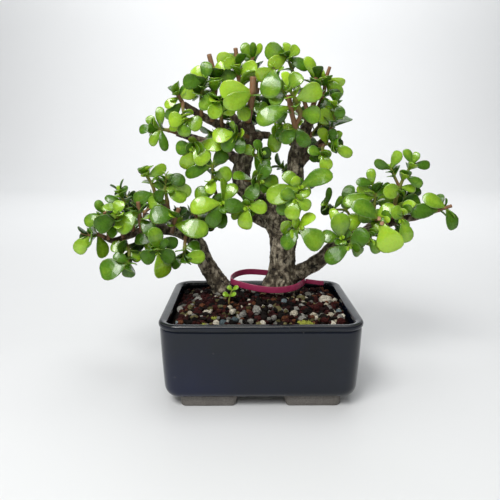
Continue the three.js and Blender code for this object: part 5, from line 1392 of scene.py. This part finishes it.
def addLeaves(heap, leaves, rng):
    # Width rises by a sine to the widest place and ends in a blunt round tip; the blade bows by a sine of its
    # length and is hollowed by the square of the way across
    f = leafForm
    t = f["rings"]
    rise = f["neck"] + (1 - f["neck"]) * np.sin(np.pi / 2 * np.minimum(t / f["widest"], 1)) ** f["neckPower"]
    fall = np.sqrt(np.maximum(1 - np.maximum((t - f["widest"]) / (1 - f["widest"]), 0) ** f["tipPower"], 0))
    width = rise * fall
    thin = np.maximum((t - f["plumpEnd"]) / f["plumpFall"], 0) ** f["plumpPower"]
    plump = np.minimum(f["plumpNeck"] + f["plumpRise"] * t, 1) * np.sqrt(np.maximum(1 - thin, 0))
    u, v = f["section"][:, 0], f["section"][:, 1]
    count, sides = len(leaves), len(u)
    frames = [leafFrame(*leaf[:3]) for leaf in leaves]
    base = np.array([leaf[0] for leaf in leaves])
    along, up, side = (np.array([row[i] for row in frames]) for i in range(3))
    length = np.array([row[3] for row in frames])
    half = np.array([leaf[3] for leaf in leaves]) / 2
    thick = f["plumpLeast"] + f["plump"] * length * (0.85 + 0.3 * rng.random(count))
    swing = (rng.random(count) - 0.5) * f["swing"]
    bow = f["bow"] * length[:, None] * np.sin(np.pi * t[None]) ** f["bowPower"] \
        - f["tipDrop"] * length[:, None] * t[None] ** 3
    mid = (length[:, None] * t)[..., None] * along[:, None] + bow[..., None] * up[:, None] \
        + (swing[:, None] * length[:, None] * np.sin(np.pi * t[None]))[..., None] * side[:, None]
    wide = half[:, None] * width[None]
    hollow = between(f["cup"], rng.random(count))
    cup = hollow[:, None, None] * wide[..., None] * (u ** 2)[None, None]
    lift = cup + v[None, None] * (thick[:, None] / 2 * plump[None])[..., None]
    points = base[:, None, None] + mid[:, :, None] + (wide[..., None] * u)[..., None] * side[:, None, None] \
        + lift[..., None] * up[:, None, None]
    startPoint = base - along * f["rootDepth"]
    endPoint = base + along * length[:, None] - up * (f["tipDrop"] * length)[:, None]
    points = np.concatenate([points.reshape(count, -1, 3), startPoint[:, None], endPoint[:, None]], 1)
    quads, tris = skinFaces(len(t), sides, flip=True)
    each = points.shape[1]
    offset = (np.arange(count) * each)[:, None, None]
    # Tone: how bright the leaf is, how far along it a point lies and how far out from its middle line
    tones = np.ones((count, each, 4))
    tones[..., 0] = np.array([leaf[4] for leaf in leaves])[:, None]
    tones[:, :-2, 1] = np.repeat(t, sides)[None]
    tones[:, -2, 1], tones[:, -1, 1] = 0, 1
    tones[:, :-2, 2] = np.tile(np.abs(u), len(t))[None]
    lastRing = slice(-sides - 2, -2)
    tones[:, lastRing, 2] = np.maximum(tones[:, lastRing, 2], f["rimAtTip"])
    tones[:, -2, 2], tones[:, -1, 2] = 0, 1
    heap.add(insideBox(toFrame(points.reshape(-1, 3))), (quads[None] + offset).reshape(-1, 4),
             (tris[None] + offset).reshape(-1, 3), tones.reshape(-1, 4), 0)


# The dressed twig: its section and rings, how it swells at the leaves, its uneven bark and its end
twigForm = {
    "sides": 10, "ringsPerNode": 7, "swell": 0.22, "swellReach": 0.16, "swellMost": 0.3, "uneven": 0.06,
    "unevenSize": 1.6, "budReach": 1.6, "cutFace": 0.84, "cutDepth": 0.1,
}


def addTwig(heap, path, thickness, end, nodes):
    # A ten-sided stem that swells at each pair of leaves; a cut end is a flat disc, a bud is a point
    f = twigForm
    sides = f["sides"]
    points = [place(row) for row in path]
    rings = f["ringsPerNode"] * (len(points) - 1) + 1
    radii = np.interp(np.arange(len(points)), [0, len(points) - 1], thickness)
    grid, shares = tubeGrid(points, radii, rings, sides)
    centre = curveAt(points, shares)
    swell = np.zeros(rings)
    for t in nodes:
        swell += np.exp(-((shares - t) * (len(points) - 1) / f["swellReach"]) ** 2) * f["swell"]
    uneven = latticeNoise(grid.reshape(-1, 3), f["unevenSize"], 9).reshape(rings, sides) * f["uneven"]
    wider = 1 + np.minimum(swell, f["swellMost"])[:, None] + uneven
    grid = centre[:, None] + (grid - centre[:, None]) * wider[..., None]
    tip = tangentAt(points, 1.0)[0]
    reach = thickness[1] * f["budReach"] if end == "bud" else 0.0
    age = np.clip(1 - shares * 1.35, 0, 1) if end == "bud" else np.clip(1.05 - shares * 0.2, 0, 1)
    # Tone: how old the bark is, how far along a point lies and whether it is on the cut face
    tones = np.ones((rings * sides + 2, 4))
    tones[:-2, 0] = np.repeat(age, sides)
    tones[:-2, 1] = np.repeat(shares, sides)
    tones[:, 2] = 0
    tones[-2:, 0] = age[0], age[-1]
    quads, tris = skinFaces(rings, sides)
    if end == "cut":
        # The cut face has its own ring, so that its colour ends at the bark
        face = centre[-1] + (grid[-1] - centre[-1]) * f["cutFace"] - tip * f["cutDepth"]
        grid = np.concatenate([grid, face[None]])
        quads, tris = skinFaces(rings + 1, sides)
        tones = np.vstack([tones[:-2], np.ones((sides, 4)), tones[-2:]])
        tones[-1, 2] = 1
    both = np.vstack([grid.reshape(-1, 3), [centre[0]], [centre[-1] + tip * reach]])
    heap.add(insideBox(toFrame(both)), quads, tris, tones, 1)


# How bright a leaf is: laid, filled or young, a random part for its stem and for itself, brighter to the
# front and the top; darker towards the back as painted shade deep in the crown, with the filled pairs
# starting darker as painted shade too; and how far it is rolled
leafTones = {
    "seed": 515, "laid": 0.54, "filled": 0.22, "young": 0.47, "ofStem": 0.26, "ofLeaf": 0.62,
    "paintedDepthShade": 0.008, "paintedShadeMost": -0.14, "frontFrom": 10, "perTop": 0.0016, "topFrom": 150,
    "limits": (0.05, 1), "roll": (-10.0, 30.0),
}

# Young pairs that the solids leave out: where they stand along a shoot, their length, lean along it and share
# of width, then the smallest pair at a growing tip
young = {
    "at": (0.50, 0.72, 0.90), "atCut": (0.30, 0.55), "length": (6.5, 10.5), "lean": 0.60, "wide": 0.92,
    "tipAlong": 4.6, "tipOut": 2.2, "tipWidth": 3.6, "tipTurn": 40, "tipTone": 0.85,
}


def leafTone(rng, own, ofStem, leaf):
    # How far the tip lies to the front and to the top counts from two planes, in millimetres; lying further
    # back darkens the leaf as painted shade
    f = leafTones
    _, y, z = leaf[1]
    tone = own + ofStem + f["ofLeaf"] * (rng.random() - 0.5)
    # Painted shade: leaves further back are darker
    front = max(f["paintedDepthShade"] * (f["frontFrom"] - y), f["paintedShadeMost"])
    return float(np.clip(tone + front + f["perTop"] * (z - f["topFrom"]), *f["limits"]))


def rolled(rng, leaf):
    # No two blades lie alike: each is rolled a little about its own line, mostly with its face to the sky
    base, tip, normal, width = leaf
    along = unit(tip - base)
    skyward = math.copysign(1, np.cross(along, normal)[2])
    roll = between(leafTones["roll"], rng.random())
    return base, tip, turned(normal, along, skyward * roll), width


def makeSprays():
    # Each stem's leaves are those found in its solid, then the young ones; all on its twigs as one mesh
    rng = np.random.default_rng(leafTones["seed"])
    drawFill = makeDraw(fillRule["seed"])
    total, missing = 0, 0
    for stem, shoots in sprays.items():
        name = "leaves_" + stem
        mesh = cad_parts[name].data
        tree = kdtree.KDTree(len(mesh.vertices))
        for i, vertex in enumerate(mesh.vertices):
            tree.insert(vertex.co, i)
        tree.balance()
        heap = Heap()
        leaves = []
        ofStem = leafTones["ofStem"] * (rng.random() - 0.5)
        for twig in shoots:
            path = [place(row) for row in twig["path"]]
            steps = len(path) - 1
            nodes = {row[0] / steps for row in twig["leaves"]}
            for row in twig["leaves"]:
                axis = tangentAt(path, row[0] / steps)[0]
                found = foundLeaf(tree, handLeaf(twig, row), axis)
                if found:
                    leaves.append((*rolled(rng, found), leafTone(rng, leafTones["laid"], ofStem, found)))
                missing += not found
            for *leaf, axis in fillLeaves(twig, drawFill):
                found = foundLeaf(tree, tuple(leaf), axis)
                if found:
                    leaves.append((*rolled(rng, found), leafTone(rng, leafTones["filled"], ofStem, found)))
            for share in young["at"] if twig["end"] == "bud" else young["atCut"]:
                spot, axis = curveAt(path, share)[0], tangentAt(path, share)[0]
                level = turned(unit(np.cross(axis, [0.2, 0.1, 1])), axis, 360 * rng.random())
                for half in (0, 180):
                    out = turned(level, axis, half)
                    long = between(young["length"], rng.random())
                    reach = (axis * young["lean"] + out) * long
                    leaf = (spot, spot + reach, axis - out * young["lean"], long * young["wide"])
                    leaves.append((*leaf, leafTone(rng, leafTones["young"], ofStem, leaf)))
            if twig["end"] == "bud":
                tip, axis = path[-1], tangentAt(path, 1.0)[0]
                level = unit(np.cross(axis, [0.3, 0.2, 1]))
                ahead, aside = young["tipAlong"], young["tipOut"]
                for half in (0, 180):
                    out = turned(level, axis, half + young["tipTurn"])
                    leaves.append((tip, tip + (axis * ahead + out * aside), axis * aside - out * ahead,
                                   young["tipWidth"], young["tipTone"]))
            addTwig(heap, twig["path"], twig["radii"], twig["end"], nodes)
        addLeaves(heap, leaves, rng)
        total += len(leaves)
        addPiece("foliage_" + stem, heap.mesh("foliage_" + stem), [name], [leafSkin, twigSkin])
    print("leafy stems", len(sprays), "leaves", total, "hand leaves not in the solids", missing)


makeSprays()

# The sprout's stem as x, z, depth and its leaves as tip x, tip z, extra depth, width
sprout = {
    "stem": [(-26, 56, -13), (-25.8, 67, -13), (-25, 72, -12), (-23, 77, -11)],
    "leaves": [(-31, 74, -2, 5.5), (-19.5, 74, -3, 5), (-27, 81, 2, 4.5), (-17.5, 80.5, 0, 4.5)],
    "thickness": (0.9, 0.6), "upperSide": (0, -0.6, 0.8), "tone": 0.7, "seed": 8,
}


def makeSprout():
    heap = Heap()
    rng = np.random.default_rng(sprout["seed"])
    addTwig(heap, sprout["stem"], sprout["thickness"], "bud", {2 / 3, 1.0})
    leaves = []
    for i, (x, z, extraDepth, width) in enumerate(sprout["leaves"]):
        base = place(sprout["stem"][2 if i < 2 else 3])
        tip = place((x, z, sprout["stem"][2][2] + extraDepth))
        leaves.append((base, tip, np.array(sprout["upperSide"]), width, sprout["tone"]))
    addLeaves(heap, leaves, rng)
    return addPiece("young_sprout", heap.mesh("young_sprout"), ["basal_sprout"], [leafSkin, twigSkin])


makeSprout()

# The tag's strip: its height, how much lower the tail is, its loop and tail as x, z, depth, and its section
tag = {
    "height": 5.2, "tailLower": 1.4, "thickness": 0.9, "loopSteps": 120, "tailSteps": 14,
    "loop": [(-24, 86, 16), (-20, 91, 30), (-10, 93.5, 41), (7, 92.5, 43), (24, 90, 40), (35.5, 88, 30),
             (38, 85.5, 17), (35, 82.5, 7), (29, 79.5, 1), (17, 77.5, -2.5), (5, 78, -3), (-7, 80, -1.5),
             (-18, 83, 5)],
    "tail": [(38.6, 85.5, 16), (45, 84.6, 16), (54, 83.4, 17)],
    "section": [(0.5, 0.42), (0.42, 0.5), (-0.42, 0.5), (-0.5, 0.42), (-0.5, -0.42), (-0.42, -0.5),
                (0.42, -0.5), (0.5, -0.42)],
}


def stripGrid(points, shares, closed, height, thickness):
    # A flat section with rounded edges that stands on edge along the curve
    centre = curveAt(points, shares, closed)
    along = tangentAt(points, np.clip(shares, 1e-4, 1 - 1e-4), closed)
    out = unit(np.cross(along, [0, 0, 1]))
    up = np.cross(out, along)
    section = np.array(tag["section"])[::-1]
    return centre[:, None] + out[:, None] * (section[:, :1] * thickness)[None] \
        + up[:, None] * (section[:, 1:] * height)[None]


def makeTag():
    # The loop is a closed ring of sections; the tail runs out of it to the right
    heap = Heap()
    loop = [place(row) for row in tag["loop"]]
    steps, sides = tag["loopSteps"], len(tag["section"])
    grid = stripGrid(loop, np.arange(steps) / steps, True, tag["height"], tag["thickness"])
    k, i = np.meshgrid(np.arange(steps), np.arange(sides), indexing="ij")
    onward, beside = (k + 1) % steps, (i + 1) % sides
    a, b = (k * sides + i).ravel(), (k * sides + beside).ravel()
    c, d = (onward * sides + beside).ravel(), (onward * sides + i).ravel()
    heap.add(insideBox(toFrame(grid.reshape(-1, 3))), np.stack([a, b, c, d], 1), noTris, np.ones(4))
    tail = [place(row) for row in tag["tail"]]
    shares = np.linspace(0, 1, tag["tailSteps"])
    grid = stripGrid(tail, shares, False, tag["height"] - tag["tailLower"], tag["thickness"])
    ends = curveAt(tail, [0, 1])
    quads, tris = skinFaces(tag["tailSteps"], sides)
    heap.add(insideBox(toFrame(np.vstack([grid.reshape(-1, 3), ends]))), quads, tris, np.ones(4))
    return addPiece("tag_strip", heap.mesh("tag_strip"), ["tag_band"], [tagSkin])


makeTag()
print("sprout and tag ready")

studio = {
    "floor": (0.765, 0.775, 0.782), "world": (0.97, 0.985, 1.0), "worldStrength": 0.235,
    # Soft boxes: place, aim, size, power, colour; the last one washes the backdrop
    "lights": [((-0.42, -0.60, 0.98), (0, 0, 0.14), 0.42, 7.0, (1.0, 0.99, 0.97)),
               ((-0.16, -0.78, 0.90), (0, 0, 0.15), 0.50, 3.6, (1.0, 1.0, 1.0)),
               ((0.10, 0.20, 1.20), (0, 0, 0.15), 0.8, 5.6, (1.0, 1.0, 1.0)),
               ((0.05, 1.0, 2.0), (0.05, 2.4, 1.35), 2.4, 52.0, (1.0, 1.0, 1.0))],
    "cameraPlace": (-12.916, -387.965, 199.106), "pitch": 0.2205785, "yaw": 0.0125840, "roll": 0.0028843,
    "focalPixels": 480.597, "imageSide": 500.0, "sensor": 36.0, "floorCloud": 0.97, "floorRough": 0.6,
    # Where the floor starts to rise, the radius of its sweep and how high the backdrop ends
    "sweepFrom": 1.6, "sweepRadius": 0.8, "backdropTop": 3.2,
}


def makeStudio():
    # A floor that curves up into a backdrop, soft boxes and an even sky
    scene = bpy.context.scene
    start, radius = studio["sweepFrom"], studio["sweepRadius"]
    profile = [(-3.0, 0.0)] + [(y, 0.0) for y in np.linspace(-1.0, start, 8)]
    profile += [(start + radius * math.sin(a), radius - radius * math.cos(a))
                for a in np.linspace(0.1, np.pi / 2, 12)]
    profile = np.array(profile + [(start + radius, studio["backdropTop"])])
    xs = np.linspace(-4, 4, 9)
    points = np.array([[(x, y, z) for x in xs] for y, z in profile]).reshape(-1, 3)
    k, i = np.meshgrid(np.arange(len(profile) - 1), np.arange(len(xs) - 1), indexing="ij")
    a = (k * len(xs) + i).ravel()
    heap = Heap()
    heap.add(points, np.stack([a, a + 1, a + 1 + len(xs), a + len(xs)], 1), noTris, np.ones(4))
    floor = bpy.data.objects.new("studio_floor", heap.mesh("studio_floor"))
    scene.collection.objects.link(floor)
    material, tree, shader, position = startMaterial("pale floor", IOR=1.4)
    cloud = patches(tree, position, 1.5, 0.8)
    low = tuple(v * studio["floorCloud"] for v in studio["floor"])
    tree.links.new(mixed(tree, cloud, low, studio["floor"]), shader.inputs["Base Color"])
    shader.inputs["Roughness"].default_value = studio["floorRough"]
    floor.data.materials.append(material)
    world = bpy.data.worlds.new("even sky")
    world.use_nodes = True
    background = world.node_tree.nodes["Background"]
    background.inputs["Color"].default_value = (*studio["world"], 1)
    background.inputs["Strength"].default_value = studio["worldStrength"]
    scene.world = world
    for number, (spot, aim, size, power, colour) in enumerate(studio["lights"]):
        data = bpy.data.lights.new(f"soft box {number}", "AREA")
        data.shape = "SQUARE"
        data.size = size
        data.energy = power
        data.color = colour
        lamp = bpy.data.objects.new(f"soft box {number}", data)
        lamp.location = spot
        lamp.rotation_euler = (Vector(aim) - Vector(spot)).to_track_quat("-Z", "Y").to_euler()
        scene.collection.objects.link(lamp)


def makeCamera():
    # The photograph's view: place, turn to the right, look down and a slight roll
    s = studio
    ahead = np.array([math.sin(s["yaw"]) * math.cos(s["pitch"]), math.cos(s["yaw"]) * math.cos(s["pitch"]),
                      -math.sin(s["pitch"])])
    right = np.array([math.cos(s["yaw"]), -math.sin(s["yaw"]), 0.0])
    up = np.cross(right, ahead)
    c, d = math.cos(s["roll"]), math.sin(s["roll"])
    turnedRight, turnedUp = c * right + d * up, c * up - d * right
    data = bpy.data.cameras.new("photo view")
    data.sensor_width = s["sensor"]
    data.lens = s["focalPixels"] / s["imageSide"] * s["sensor"]
    data.clip_start = 0.01
    camera = bpy.data.objects.new("photo view", data)
    spot = toFrame(s["cameraPlace"])
    axes = np.stack([turnedRight, turnedUp, -ahead], 1)
    camera.matrix_world = Matrix([[*row, p] for row, p in zip(axes, spot)] + [[0, 0, 0, 1]])
    bpy.context.scene.collection.objects.link(camera)
    bpy.context.scene.camera = camera


makeStudio()
makeCamera()
bpy.context.scene.view_settings.view_transform = "Standard"
print("studio ready")
